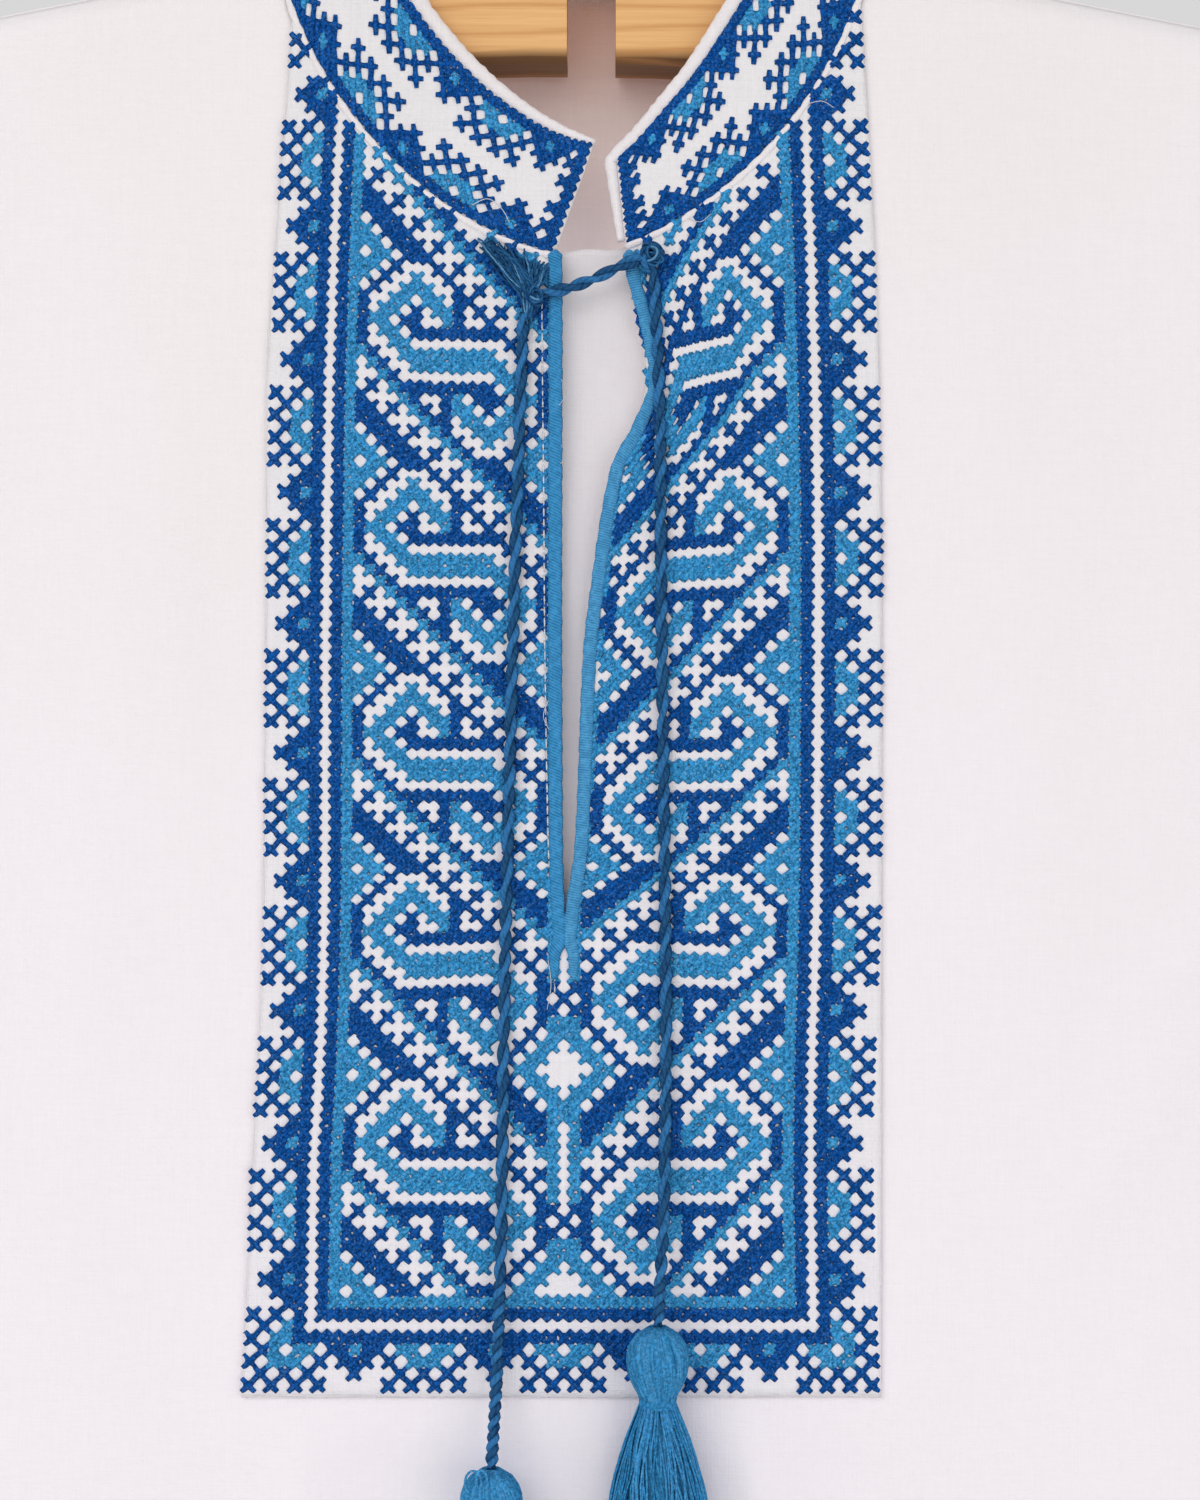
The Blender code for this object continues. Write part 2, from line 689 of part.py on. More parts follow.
def smooth_line(marks, count):
    """Evenly spaced points of a smooth curve through hand-placed marks."""
    fine = []
    for number in range(len(marks) - 1):
        before = marks[max(number - 1, 0)]
        here = marks[number]
        after = marks[number + 1]
        beyond = marks[min(number + 2, len(marks) - 1)]
        for step in range(ROUTE_STEPS):
            t = step / ROUTE_STEPS
            fine.append(0.5 * (2 * here + (after - before) * t
                               + (2 * before - 5 * here + 4 * after - beyond) * t ** 2
                               + (3 * here - before - 3 * after + beyond) * t ** 3))
    fine.append(marks[-1])
    return resample(fine, count)


def on_front(x, height, lift):
    """A point in front of the cloth, lifted off its outer face."""
    point = cloth_point(x, height, -1)
    point.y -= lift
    return point


def tail_route(marks):
    """A hanging end lies on the panel and comes forward to the middle of its tassel."""
    route = []
    end_lifts = {0: TASSEL_LIFT, 1: blend(CORD_LIFT, TASSEL_LIFT, TAIL_HALFWAY)}
    for number, (x, height) in enumerate(marks):
        lift = end_lifts.get(len(marks) - 1 - number, CORD_LIFT)
        route.append(on_front(x, height, lift))
    return route


def build_cords():
    for name, marks in (("left", LEFT_TAIL), ("right", RIGHT_TAIL)):
        line = smooth_line(tail_route(marks), TAIL_POINTS[name])
        tube("cord_" + name, line, CORD_RADIUS, DARK_BLUE, 0.8)
    bridge = [on_front(x, height, BRIDGE_LIFT) for x, height in BRIDGE]
    level = min(point.y for point in bridge)
    for point in bridge:
        point.y = level
    tube("cord_bridge", smooth_line(bridge, BRIDGE_POINTS), CORD_RADIUS, DARK_BLUE, 0.8)


def build_knot(name):
    knot = KNOTS[name]
    bm = bmesh.new()
    bmesh.ops.create_uvsphere(bm, u_segments=KNOT_SIDES, v_segments=KNOT_RINGS,
                              radius=1.0)
    centre = on_front(knot.x, knot.z, knot.lift)
    for vert in bm.verts:
        size = Vector((knot.half_width, KNOT_DEPTH, knot.half_height))
        vert.co = centre + Vector(a * b for a, b in zip(vert.co, size))
    finish("cord_knot_" + name, bm, DARK_BLUE, 0.8)


def build_tassel(name, marks):
    """A wound head, whose under side is drawn out into strands."""
    x, height = marks[-1]
    top = on_front(x, height, TASSEL_LIFT)
    top.z -= TASSEL_CLEAR
    bm = bmesh.new()
    bmesh.ops.create_circle(bm, cap_ends=True, segments=TASSEL_SIDES, radius=TASSEL_HEAD[0].radius)
    edges = bm.edges[:]
    for row in TASSEL_HEAD[1:]:
        edges = draw_ring(bm, edges, row.radius, -row.drop)
    low = -TASSEL_HEAD[-1].drop
    for radius in TASSEL_ROOTS:
        edges = draw_ring(bm, edges, radius, low)
    middle = bmesh.ops.contextual_create(bm, geom=edges)["faces"]
    bmesh.ops.poke(bm, faces=middle)
    roots = [face for face in bm.faces if all(abs(v.co.z - low) < AT_EDGE for v in face.verts)]
    bmesh.ops.recalc_face_normals(bm, faces=bm.faces[:])
    bmesh.ops.inset_individual(bm, faces=roots, thickness=STRAND_INSET)
    for step in range(1, STRAND_STEPS + 1):
        drawn = bmesh.ops.extrude_discrete_faces(bm, faces=roots)["faces"]
        roots = list(drawn)
        share = step / STRAND_STEPS
        for face in roots:
            centre = face.calc_center_median()
            out = Vector((centre.x, centre.y, 0.0))
            fall = Vector((0.0, 0.0, -STRAND_LENGTH / STRAND_STEPS))
            spread = STRAND_FLARE - share * STRAND_STRAIGHTEN
            move = fall + out * (STRAND_SPREAD / STRAND_STEPS) * spread
            for vert in face.verts:
                vert.co += move
    for vert in bm.verts:
        vert.co += top
    finish("tassel_" + name, bm, BLUE, 0.8)


def draw_ring(bm, edges, radius, height):
    """Draws an open edge loop out to a new ring with the given radius and height."""
    drawn = bmesh.ops.extrude_edge_only(bm, edges=edges)["geom"]
    for vert in (part for part in drawn if isinstance(part, bmesh.types.BMVert)):
        flat = Vector((vert.co.x, vert.co.y)).normalized() * radius
        vert.co = Vector((flat.x, flat.y, height))
    return [part for part in drawn if isinstance(part, bmesh.types.BMEdge)
            and all(v in drawn for v in part.verts)]


def board_section(x):
    """Outline of the hanger's board across its length: a crowned top and eased lower corners."""
    top = ridge_height(x) - BOARD_UNDER_CLOTH
    share = min(abs(x - HANGER_X) / BOARD_HALF_LENGTH, 1.0)
    low = top - blend(BOARD_HEIGHT, BOARD_TIP_HEIGHT, share ** BOARD_TAPER)
    half = []
    for step in range(CROWN_STEPS + 1):
        turn = math.pi / 2 * step / CROWN_STEPS
        rise = BOARD_CROWN * (1 - math.cos(turn))
        half.append((BOARD_HALF_DEPTH * math.sin(turn), top - rise))
    half.append((BOARD_HALF_DEPTH, low + BOARD_FOOT))
    half.append((BOARD_HALF_DEPTH - BOARD_FOOT_CUT, low + BOARD_FOOT_CUT))
    half.append((BOARD_HALF_DEPTH - BOARD_FOOT, low))
    back = [(-y, z) for y, z in reversed(half[1:])]
    return [Vector((x, y, z)) for y, z in half + back]


def build_hanger():
    """The board as a row of sections drawn along its length, then notched underneath."""
    bm = bmesh.new()
    count = len(board_section(0.0))
    number_of = bm.verts.layers.int.new("number")
    bmesh.ops.create_circle(bm, cap_ends=True, segments=count, radius=1.0)
    turns = sorted(bm.verts, key=lambda vert: math.atan2(vert.co.y, vert.co.x) % (2 * math.pi))
    for number, vert in enumerate(turns):
        vert[number_of] = number
    edges = bm.edges[:]
    ring = bm.verts[:]
    for station in range(BOARD_STATIONS + 1):
        if station:
            drawn = bmesh.ops.extrude_edge_only(bm, edges=edges)["geom"]
            ring = [part for part in drawn if isinstance(part, bmesh.types.BMVert)]
            edges = [part for part in drawn if isinstance(part, bmesh.types.BMEdge)
                     and all(v in drawn for v in part.verts)]
        x = HANGER_X + BOARD_HALF_LENGTH * (2 * station / BOARD_STATIONS - 1)
        section = board_section(x)
        for vert in ring:
            vert.co = section[vert[number_of]]
    bmesh.ops.contextual_create(bm, geom=edges)
    board = finish("hanger", bm, PINE, 0.55)
    cutter = bmesh.new()
    bmesh.ops.create_cube(cutter, size=1.0)
    for vert in cutter.verts:
        z = NOTCH_TOP_Z if vert.co.z > 0 else NOTCH_LOW_Z
        vert.co = Vector((HANGER_X + 2 * NOTCH_HALF * vert.co.x, NOTCH_REACH * vert.co.y, z))
    notch = finish("notch_cutter", cutter, PINE, 0.5)
    notch.hide_render = True
    notch.display_type = "WIRE"
    cut = board.modifiers.new("notch", "BOOLEAN")
    cut.operation = "DIFFERENCE"
    cut.object = notch


def build_hook():
    """A bent wire: up out of the board, to one side, and over the top in a round turn."""
    centre_z = -NECK_POINT.z + WIRE_RADIUS - HOOK_RADIUS
    foot_z = ridge_height(HANGER_X) - BOARD_UNDER_CLOTH + GAP

    def on_turn(degrees):
        turn = math.radians(degrees)
        return Vector((HANGER_X + HOOK_RADIUS * math.cos(turn), 0.0,
                       centre_z + HOOK_RADIUS * math.sin(turn)))
    start = on_turn(HOOK_TURN_START)
    marks = [Vector((HANGER_X, 0.0, foot_z + rise)) for rise in HOOK_STEM]
    swing = Vector((HANGER_X, 0.0, foot_z + HOOK_SWING_RISE))
    marks += [swing.lerp(start, HOOK_SWING_SHARE), start]
    line = smooth_line(marks, HOOK_STEM_POINTS)
    for step in range(1, HOOK_TURN_POINTS + 1):
        line.append(on_turn(blend(HOOK_TURN_START, HOOK_TURN_END, step / HOOK_TURN_POINTS)))
    tube("hook", line, WIRE_RADIUS, STEEL, 0.3, metallic=1.0)


def build():
    for thing in list(bpy.data.objects):
        bpy.data.objects.remove(thing, do_unlink=True)
    build_hook()
    build_hanger()
    build_front()
    build_back()
    for name, side in (("left", -1), ("right", 1)):
        build_sleeve("sleeve_" + name, side)
        build_slit_binding(name, side)
        build_knot(name)
    build_plastron()
    build_slit_underlay()
    build_collar()
    build_collar_piping()
    build_cords()
    build_tassel("left", LEFT_TAIL)
    build_tassel("right", RIGHT_TAIL)


build()
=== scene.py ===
"""Looks of the embroidered shirt on its wooden hanger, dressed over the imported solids.

Metres, +Z up, the front faces -Y, and left and right are as seen from the front. Places
on the shirt are measured from its front neck point, as in the part's source.
"""

import math
from types import SimpleNamespace

import bmesh
import bpy
import numpy as np
from bpy.props import FloatProperty, FloatVectorProperty, IntProperty, PointerProperty
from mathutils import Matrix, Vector


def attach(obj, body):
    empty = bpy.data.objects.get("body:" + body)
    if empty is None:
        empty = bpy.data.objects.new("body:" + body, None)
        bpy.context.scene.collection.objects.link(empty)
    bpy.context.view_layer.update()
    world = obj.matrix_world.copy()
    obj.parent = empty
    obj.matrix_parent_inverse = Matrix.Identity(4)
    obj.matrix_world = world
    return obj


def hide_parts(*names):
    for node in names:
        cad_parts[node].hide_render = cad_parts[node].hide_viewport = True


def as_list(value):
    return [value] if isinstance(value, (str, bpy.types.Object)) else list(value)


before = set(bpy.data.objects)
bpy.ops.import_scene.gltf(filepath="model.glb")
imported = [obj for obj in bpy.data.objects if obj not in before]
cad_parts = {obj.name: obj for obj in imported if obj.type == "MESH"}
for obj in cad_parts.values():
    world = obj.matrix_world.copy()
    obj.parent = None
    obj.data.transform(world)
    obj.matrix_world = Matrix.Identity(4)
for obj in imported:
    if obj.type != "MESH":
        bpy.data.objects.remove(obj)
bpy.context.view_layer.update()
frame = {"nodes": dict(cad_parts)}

bl_info = {
    "name": "Embroidered shirt",
    "version": (1, 0, 0),
    "blender": (4, 5, 0),
    "location": "View3D > Sidebar > Shirt",
    "description": "Builds a folk shirt with an embroidered panel, cords and tassels on a hanger",
    "category": "Object",
}

# Where the shirt hangs under the hook: its front neck point
NECK_POINT = np.array((-0.005, 0.0, -0.175))

# Cloth of the solids, repeated so that each piece lies where its solid is
CLOTH = 0.0012
PANEL_FACE = 0.0013
EDGE_GAP = 0.00025
NECK_HALF = 0.084
NECK_RISE = 0.090
NECK_POWER = 1.65
BACK_NECK_RISE = 0.084
SHOULDER_SLOPE = 0.20
RIDGE_HUMP = NECK_HALF * SHOULDER_SLOPE / 2
RIDGE_DROP = 0.011
SHOULDER_TIP_X = 0.235
SHOULDER_TIP_Z = NECK_RISE - SHOULDER_SLOPE * (SHOULDER_TIP_X - NECK_HALF)
UNDERARM_Z = -0.182
ARMHOLE_DEPTH = 0.022
HEM_Z = -0.670
PANEL_LOW_Z = -0.318
SLIT_TIP_Z = -0.187

# Height, half width, half depth and squareness of the body
BODY = (
    (-0.67, 0.275, 0.034, 5), (-0.56, 0.268, 0.034, 5), (-0.45, 0.26, 0.033, 6),
    (-0.3, 0.245, 0.03, 6), (-0.182, 0.232, 0.025, 7), (-0.13, 0.228, 0.022, 8),
    (-0.06, 0.226, 0.019, 10), (0.02, 0.23, 0.016, 15), (0.059, 0.235, 0.015, 18),
    (0.1, 0.235, 0.015, 18),
)
# Height, left edge and right edge of the slit
SLIT = (
    (-0.318, -0.005, 0.005), (-0.24, -0.005, 0.0035), (-0.187, -0.0023, -0.0011),
    (-0.167, -0.004, 0.0006), (-0.111, -0.0046, 0.0047), (-0.061, -0.005, 0.0103),
    (-0.036, -0.0053, 0.0205), (0.0, -0.0056, 0.0148),
)
# Height and half width of the front's panel lines
PANEL_LINE = (
    (-0.318, 0.087), (-0.17, 0.0864), (-0.04, 0.0862), (0.03, 0.083), (0.072, 0.0805),
)
# Height, left edge and right edge of the panel's own cloth
PANEL_EDGE = (
    (-0.3185, -0.0917, 0.0853), (-0.172, -0.0865, 0.0862), (-0.086, -0.0864, 0.0867),
    (-0.042, -0.0866, 0.0864), (0.02, -0.083, 0.0844), (0.072, -0.0794, 0.0814),
)
# Share of the shoulder at the top, and of the way to the side further down
SIDE_COLUMNS = (
    (0, 0.0, 0.0), (1, 0.0162, 0.045), (2, 0.0214, 0.09), (3, 0.0227, 0.14), (4, 0.18, 0.29),
    (5, 0.36, 0.45), (6, 0.54, 0.61), (7, 0.7, 0.76), (8, 0.84, 0.885), (9, 0.94, 0.96),
    (10, 0.985, 0.994), (11, 1.0, 1.0),
)
COLUMN_SETTLE = 0.120
BACK_NECK_SHARE = 0.42

# Spacing, shift, sway and sway width of the waves at the hem; height, width, length,
# beginning and full width of the drapes
HEM_WAVE = 0.0090
WAVE_START_Z = -0.34
FRONT_WAVE = (0.148, 0.012, 0.6, 0.09)
BACK_WAVE = (0.162, -0.030, 0.7, 0.11)
FRONT_DRAPE = (0.0022, 0.030, 0.11, 0.09, 0.17)
BACK_DRAPE = (0.0025, 0.034, -0.13, 0.05, 0.15)
LIFT = (0.0024, 0.036, -0.042, 0.016, 0.040)

# Way round the neck, and how far the collar leans in at its left and right, and back
COLLAR_LEAN = (
    (0.0, 19.4, 6.0, 0.06), (0.15, 34.0, 22.0, 0.03), (0.35, 38.5, 33.0, 0.0),
    (0.48, 34.0, 33.0, 0.0), (0.58, 21.0, 21.0, 0.0), (0.72, 11.0, 11.0, -0.05),
    (1.0, 0.0, 0.0, -0.1),
)
COLLAR_HEIGHT = 0.0335
# Way along the band, and the share of its height there
COLLAR_CUT = ((0.0, 1.0), (0.85, 1.0), (0.94, 0.90), (1.0, 0.74))
# Way along the band, and the radius of its rolled edge
ROLL_THICK = ((0.0, 0.0008), (0.02, 0.0014), (0.10, 0.0021), (0.25, 0.0024), (0.75, 0.0024),
              (0.95, 0.0020), (1.0, 0.0019))
COLLAR_SEAM = 0.0009
COLLAR_WALL = 0.0008

# Along the sleeve: outer edge x and z, inner edge x and z, half depth
SLEEVE = (
    (0.0, 0.235, 0.059, 0.232, -0.182, 0.022), (0.12, 0.268, 0.008, 0.239, -0.208, 0.027),
    (0.28, 0.304, -0.072, 0.248, -0.245, 0.03), (0.45, 0.336, -0.17, 0.26, -0.3, 0.029),
    (0.62, 0.362, -0.28, 0.273, -0.37, 0.026), (0.8, 0.388, -0.4, 0.286, -0.455, 0.022),
    (1.0, 0.412, -0.52, 0.298, -0.548, 0.018),
)
# How far the sleeve's top stands out, and the height and number of its long folds
SLEEVE_JOIN = 0.0011
SLEEVE_FOLD = 0.0035
SLEEVE_FOLDS = 3

# Cord routes, x and height on the cloth, with how far each lies off it
CORD_LIFT = 0.0034
TASSEL_LIFT = 0.0130
LEFT_TAIL = (
    (-0.014, -0.0155), (-0.015, -0.045), (-0.0166, -0.097), (-0.0179, -0.153), (-0.0191, -0.208),
    (-0.0197, -0.264), (-0.0207, -0.307), (-0.022, -0.334),
)
RIGHT_TAIL = (
    (0.0225, -0.004), (0.0242, -0.042), (0.0247, -0.097), (0.0253, -0.153), (0.0258, -0.208),
    (0.0251, -0.262), (0.0232, -0.2958),
)
BRIDGE_LIFT = 0.0046
BRIDGE = (
    (-0.009, -0.0108), (-0.004, -0.01), (0.006, -0.0065), (0.013, -0.003), (0.0172, -0.001),
)

# The underlay: its sides, foot and top
UNDERLAY_SIDES = (-0.024, 0.034)
UNDERLAY_FOOT_Z = -0.196
UNDERLAY_TOP_Z = 0.0030

# Soft creases: from x and z, to x and z, width, height
FRONT_CREASES = (
    (-0.15, 0.045, -0.118, -0.15, 0.016, 0.001), (-0.105, -0.01, -0.128, -0.24, 0.012, 0.0007),
    (-0.205, 0.02, -0.15, -0.13, 0.018, 0.0016), (-0.222, -0.12, -0.12, -0.33, 0.017, 0.0018),
    (-0.228, -0.16, -0.16, -0.2, 0.012, 0.002), (0.112, 0.03, 0.135, -0.17, 0.014, 0.0009),
    (0.15, -0.04, 0.118, -0.26, 0.015, 0.0008), (0.208, 0.01, 0.165, -0.15, 0.018, 0.0017),
    (0.226, -0.13, 0.13, -0.3, 0.017, 0.0018), (0.23, -0.17, 0.15, -0.215, 0.012, 0.0021),
    (-0.06, -0.33, -0.09, -0.56, 0.02, 0.0022), (0.04, -0.35, 0.07, -0.6, 0.022, 0.0024),
    (0.15, -0.33, 0.18, -0.59, 0.019, 0.0021), (-0.17, -0.35, -0.2, -0.61, 0.021, 0.0023),
    (-0.02, -0.42, 0.01, -0.64, 0.016, 0.0016), (-0.14, -0.44, -0.06, -0.5, 0.018, -0.0014),
    (0.09, -0.47, 0.16, -0.45, 0.016, 0.0015), (-0.235, -0.4, -0.12, -0.38, 0.015, 0.0016),
    (-0.1, -0.326, 0.06, -0.334, 0.01, 0.0006), (0.1, -0.29, 0.15, -0.352, 0.014, 0.0008),
    (0.01, -0.315, 0.014, -0.4, 0.008, 0.0016), (-0.072, -0.318, -0.08, -0.42, 0.009, 0.0014),
    (0.046, -0.318, 0.052, -0.42, 0.01, 0.0012), (-0.128, -0.06, -0.14, -0.3, 0.01, 0.0012),
    (-0.112, -0.02, -0.106, -0.2, 0.008, 0.0007), (0.12, -0.12, 0.128, -0.3, 0.01, 0.0009),
)
BACK_CREASES = (
    (-0.08, 0.06, -0.06, -0.2, 0.02, 0.002), (0.06, 0.05, 0.085, -0.22, 0.022, 0.0022),
    (0.0, 0.04, -0.01, -0.26, 0.018, 0.0015), (-0.205, -0.02, -0.12, -0.2, 0.019, 0.0024),
    (0.208, -0.01, 0.11, -0.19, 0.018, 0.0022), (-0.228, -0.15, -0.1, -0.3, 0.016, 0.0021),
    (0.23, -0.16, 0.12, -0.33, 0.017, 0.0025), (-0.03, -0.26, -0.06, -0.56, 0.022, 0.0026),
    (0.07, -0.3, 0.05, -0.62, 0.02, 0.0024), (-0.15, -0.33, -0.17, -0.62, 0.022, 0.0027),
    (0.17, -0.31, 0.2, -0.6, 0.019, 0.0022), (0.01, -0.42, 0.12, -0.47, 0.015, -0.0014),
    (-0.12, -0.48, -0.02, -0.44, 0.016, 0.0016), (0.225, -0.43, 0.12, -0.4, 0.016, 0.0015),
)
# Round the sleeve and along it, both as shares
SLEEVE_CREASES = (
    (0.05, 0.1, 0.45, 0.22, 0.05, 0.003), (0.1, 0.3, 0.4, 0.38, 0.04, 0.0026),
    (0.3, 0.34, 0.48, 0.52, 0.05, 0.0028), (0.08, 0.52, 0.36, 0.66, 0.04, 0.0022),
    (0.22, 0.7, 0.44, 0.8, 0.04, 0.002), (0.12, 0.86, 0.3, 0.97, 0.03, 0.0016),
    (0.55, 0.12, 0.92, 0.26, 0.05, 0.0028), (0.6, 0.36, 0.9, 0.42, 0.04, 0.0025),
    (0.52, 0.5, 0.76, 0.66, 0.05, 0.0027), (0.66, 0.72, 0.94, 0.8, 0.04, 0.0021),
    (0.56, 0.88, 0.82, 0.96, 0.03, 0.0016),
)
# Each side of the panel is drawn a little by its stitches
PANEL_CREASES = (
    (-0.03, 0.01, -0.06, -0.06, 0.01, 0.0006), (-0.07, -0.02, -0.064, -0.22, 0.012, 0.0005),
    (-0.036, -0.09, -0.032, -0.29, 0.01, -0.0005), (0.06, 0.0, 0.056, -0.18, 0.011, 0.0006),
    (0.03, -0.12, 0.04, -0.3, 0.01, 0.0005), (0.074, -0.16, 0.07, -0.31, 0.01, -0.0004),
    (0.02, -0.014, 0.048, -0.05, 0.008, 0.0007), (-0.01, -0.21, 0.012, -0.3, 0.01, 0.0005),
)
UNDERLAY_FOLDS = (
    (0.003, -0.026, 0.02, -0.052, 0.0035, 0.0008), (-0.004, -0.01, 0.016, -0.028, 0.004, -0.0006),
    (-0.002, -0.06, 0.006, -0.15, 0.003, 0.0005),
)

# The board's foot under the neck, and how its middle arches; below it the board's underside is
# painted in shade
BOARD_FOOT_Z = -0.1128
BOARD_CURVE = 1.19

# Photo places, in its own pixels, for the embroidery's rows and columns
PIXELS_PER_METRE = 3600
NECK_PIXEL = (573, 250)
PLANE_DISTANCE = 0.650
CAMERA_DISTANCE = 0.679
VIEW_CENTRE = (0.0075, -0.1389)
CENTRE_PIXEL = 563.8
# The camera's lens and sensor in millimetres
LENS = 56.15
SENSOR_WIDTH = 36.0
# Strength of the fill light against the key light
FILL_SHARE = 0.66
# Pale blue of the fibres that stand out of a thread
SPECK = (0.36, 0.66, 0.92)
# Row and height; height and column width at the left and at the right
ROW_HEIGHTS = (
    (-40, -102), (-27, 39), (-7, 259), (-1, 325), (5, 393), (17, 525), (29, 656), (41, 785),
    (53, 913), (65, 1044), (77, 1176), (89, 1314), (95, 1385), (100, 1443),
)
LEFT_PITCH = (
    (-60, 9.7), (60, 9.95), (150, 10.25), (259, 10.46), (393, 10.67), (525, 10.76), (656, 10.83),
    (785, 10.85), (915, 10.89), (1045, 11.07), (1177, 11.38), (1314, 11.5), (1384, 11.69),
    (1450, 11.8),
)
RIGHT_PITCH = (
    (-60, 10.6), (60, 10.85), (300, 11.3), (560, 11.56), (870, 11.5), (1163, 11.2), (1395, 11.45),
    (1450, 11.5),
)
# Height, and how far the open slit pushes the right side across and down
GAPE = (
    (100, 46, 14), (270, 59, 24), (380, 84, 28), (470, 44, 18), (650, 24, 8), (850, 9, 2),
    (930, 0, 0), (1400, 0, 0),
)
GAPE_REACH = 190
# Height and middle of the satin along each edge of the slit
LEFT_SATIN = (
    (240, 555), (330, 555.5), (600, 555), (860, 556), (913, 558), (938, 559.5), (956, 554.5),
    (990, 554),
)
RIGHT_SATIN = (
    (240, 627), (270, 632), (330, 648), (380, 656), (425, 640), (470, 617), (590, 597),
    (650, 590), (850, 581), (905, 573), (938, 570), (956, 573.5), (990, 573.5),
)
LEFT_SAG = 7
# Row, and how far the middle of the panel rides up there
CENTRE_RISE = ((-40, 0), (30, -3), (44, 0), (57, 14), (62, 13), (68, 8), (76, 2), (92, 0))

# The stitches' chart: X is a dark cross, o a light one, and a dot is bare cloth. One field
# repeat runs from nine rows above a motif's upper bar to nine below, from its outer column
# to the centre
FIELD = (
    "oo.XXX.X.oX...X.oo..",
    ".oo.XXX...oXXX.oo...",
    "oo.X...X.X.oXXX.oo..",
    "o.X..o..X...oXXX.oo.",
    ".X..ooo..X.X.oXXX.oo",
    "X..oo.oo.XX...oXXXoo",
    "X.oo.X.ooX.X.X.oXXo.",
    "Xoo.XX..oX..X...oXo.",
    "X.oo.XXXXXXXXX.X.oo.",
    "X..oo.........X...o.",
    "oX..ooooooooo..X.Xo.",
    ".oX..ooooooooo..X.o.",
    "..oX.........oo..Xo.",
    ".X.oXXXXXXXXX.oo.XX.",
    "X...oX..Xo.XXX.ooX.X",
    "XX.X.oX.Xoo.X.oo.XX.",
    "XXX...oXX.oo.oo..Xoo",
    ".XXX.X.oX..ooo..X.oo",
    "o.XXX...oX..o..X.oo.",
)
FIELD_ABOVE = 9
# Lines round the field from the outside in, and the column and row where they begin
FRAME_LINES = "X.Xo"
FRAME_COLUMN = 4
FRAME_ROW = 91
BORDER = (
    "X.X.X", ".X.oX", "X.ooX", ".Xo.X", "X.ooX", ".X.oX",
    "X.X.X", "...XX", "..XXX", ".XXoX", "..XXX", "...XX",
)
CORNER = {92: ".Xo.oo.", 93: "X.ooo.X", 94: ".X.X.X.", 95: "X.X.X.X"}
BORDER_START_ROW = 89
CENTRE_COLUMN = 27
FIRST_ROW = -30
LAST_ROW = 95
COLLAR_ROWS = 12
# Steps along a leg of a cross, how far it reaches and how far it and its ends stray, in
# cells, and how much of its rise and width it loses towards its ends
LEG_STEPS = np.array((-1.0, -0.42, 0.42, 1.0))
LEG_REACH = 0.60
LEG_STRAY = 0.025
END_STRAY = 0.02
LEG_ARCH = 0.85
LEG_NARROWS = 0.18
LEG_THINS = 0.45
# Size of one cell at the left, at the right and on the collar
LEFT_CELL = 0.00302
RIGHT_CELL = 0.00312
COLLAR_CELL = 0.00295
COLLAR_SPACING = 0.00316

# Profile of a tassel: way down and radius
TASSEL_FORM = (
    (0.0, 0.0016), (0.0014, 0.0042), (0.0042, 0.0068), (0.0088, 0.008), (0.0132, 0.0074),
    (0.017, 0.0057), (0.0196, 0.0044), (0.0212, 0.0044), (0.025, 0.0066), (0.036, 0.0106),
    (0.0486, 0.0137), (0.06, 0.0147), (0.069, 0.015),
)
TASSEL_WAIST = 0.0196
TASSEL_END = 0.0695
TASSEL_CORE = (0.0006, 0.0560)
# Photo places of thread ends that curl off the seams
LOOSE_THREADS = (
    ((559, 372), (566, 385), (561, 398), (553, 404)), ((560, 440), (566, 452), (558, 462)),
    ((548, 960), (551, 985), (547, 1010)), ((470, 196), (486, 190), (500, 200), (508, 214)),
    ((812, 92), (826, 90), (838, 96)), ((690, 210), (702, 214), (712, 206)),
    ((548, 700), (543, 716), (549, 730)),
)
SIDES = (("left", -1), ("right", 1))


# ---------------------------------------------------------------- sizes and colours


def colour_property(name, description, default):
    return FloatVectorProperty(name=name, description=description, default=default,
                               subtype="COLOR", size=3, min=0.0, max=1.0)


def length_property(name, description, default, low, high):
    return FloatProperty(name=name, description=description, default=default, unit="LENGTH",
                         min=low, max=high)


class ClothSizes(bpy.types.PropertyGroup):
    white: colour_property("White", "Bleached cotton", (0.930, 0.885, 0.915))
    warm: colour_property("Warm white", "Cotton where it has yellowed a little",
                          (0.910, 0.860, 0.850))
    panel: colour_property("Panel white", "Counted cloth of the panel", (0.905, 0.880, 0.910))
    # Painted shade: the back's inner face gets this darker beige for the shade within the shirt.
    inside: colour_property("Inside", "Inner face of the back", (0.72, 0.62, 0.59))
    crease: FloatProperty(name="Creases", description="How strong the soft creases are",
                          default=1.2, min=0.0, max=2.0)
    hem: length_property("Hem", "Depth of the turned hem", 0.018, 0.005, 0.05)


class StitchSizes(bpy.types.PropertyGroup):
    dark: colour_property("Dark thread", "Crosses of dark blue", (0.0028, 0.104, 0.450))
    light: colour_property("Light thread", "Crosses of light blue", (0.045, 0.380, 0.800))
    leg: FloatProperty(name="Leg width", description="Width of a leg against its cell",
                       default=0.60, min=0.2, max=0.9)
    rise: length_property("Rise", "How far a cross stands off the cloth", 0.00042, 0.0001,
                          0.002)
    joined: FloatProperty(name="Joined", description="Share of like neighbours that meet",
                          default=0.8, min=0.0, max=1.0)


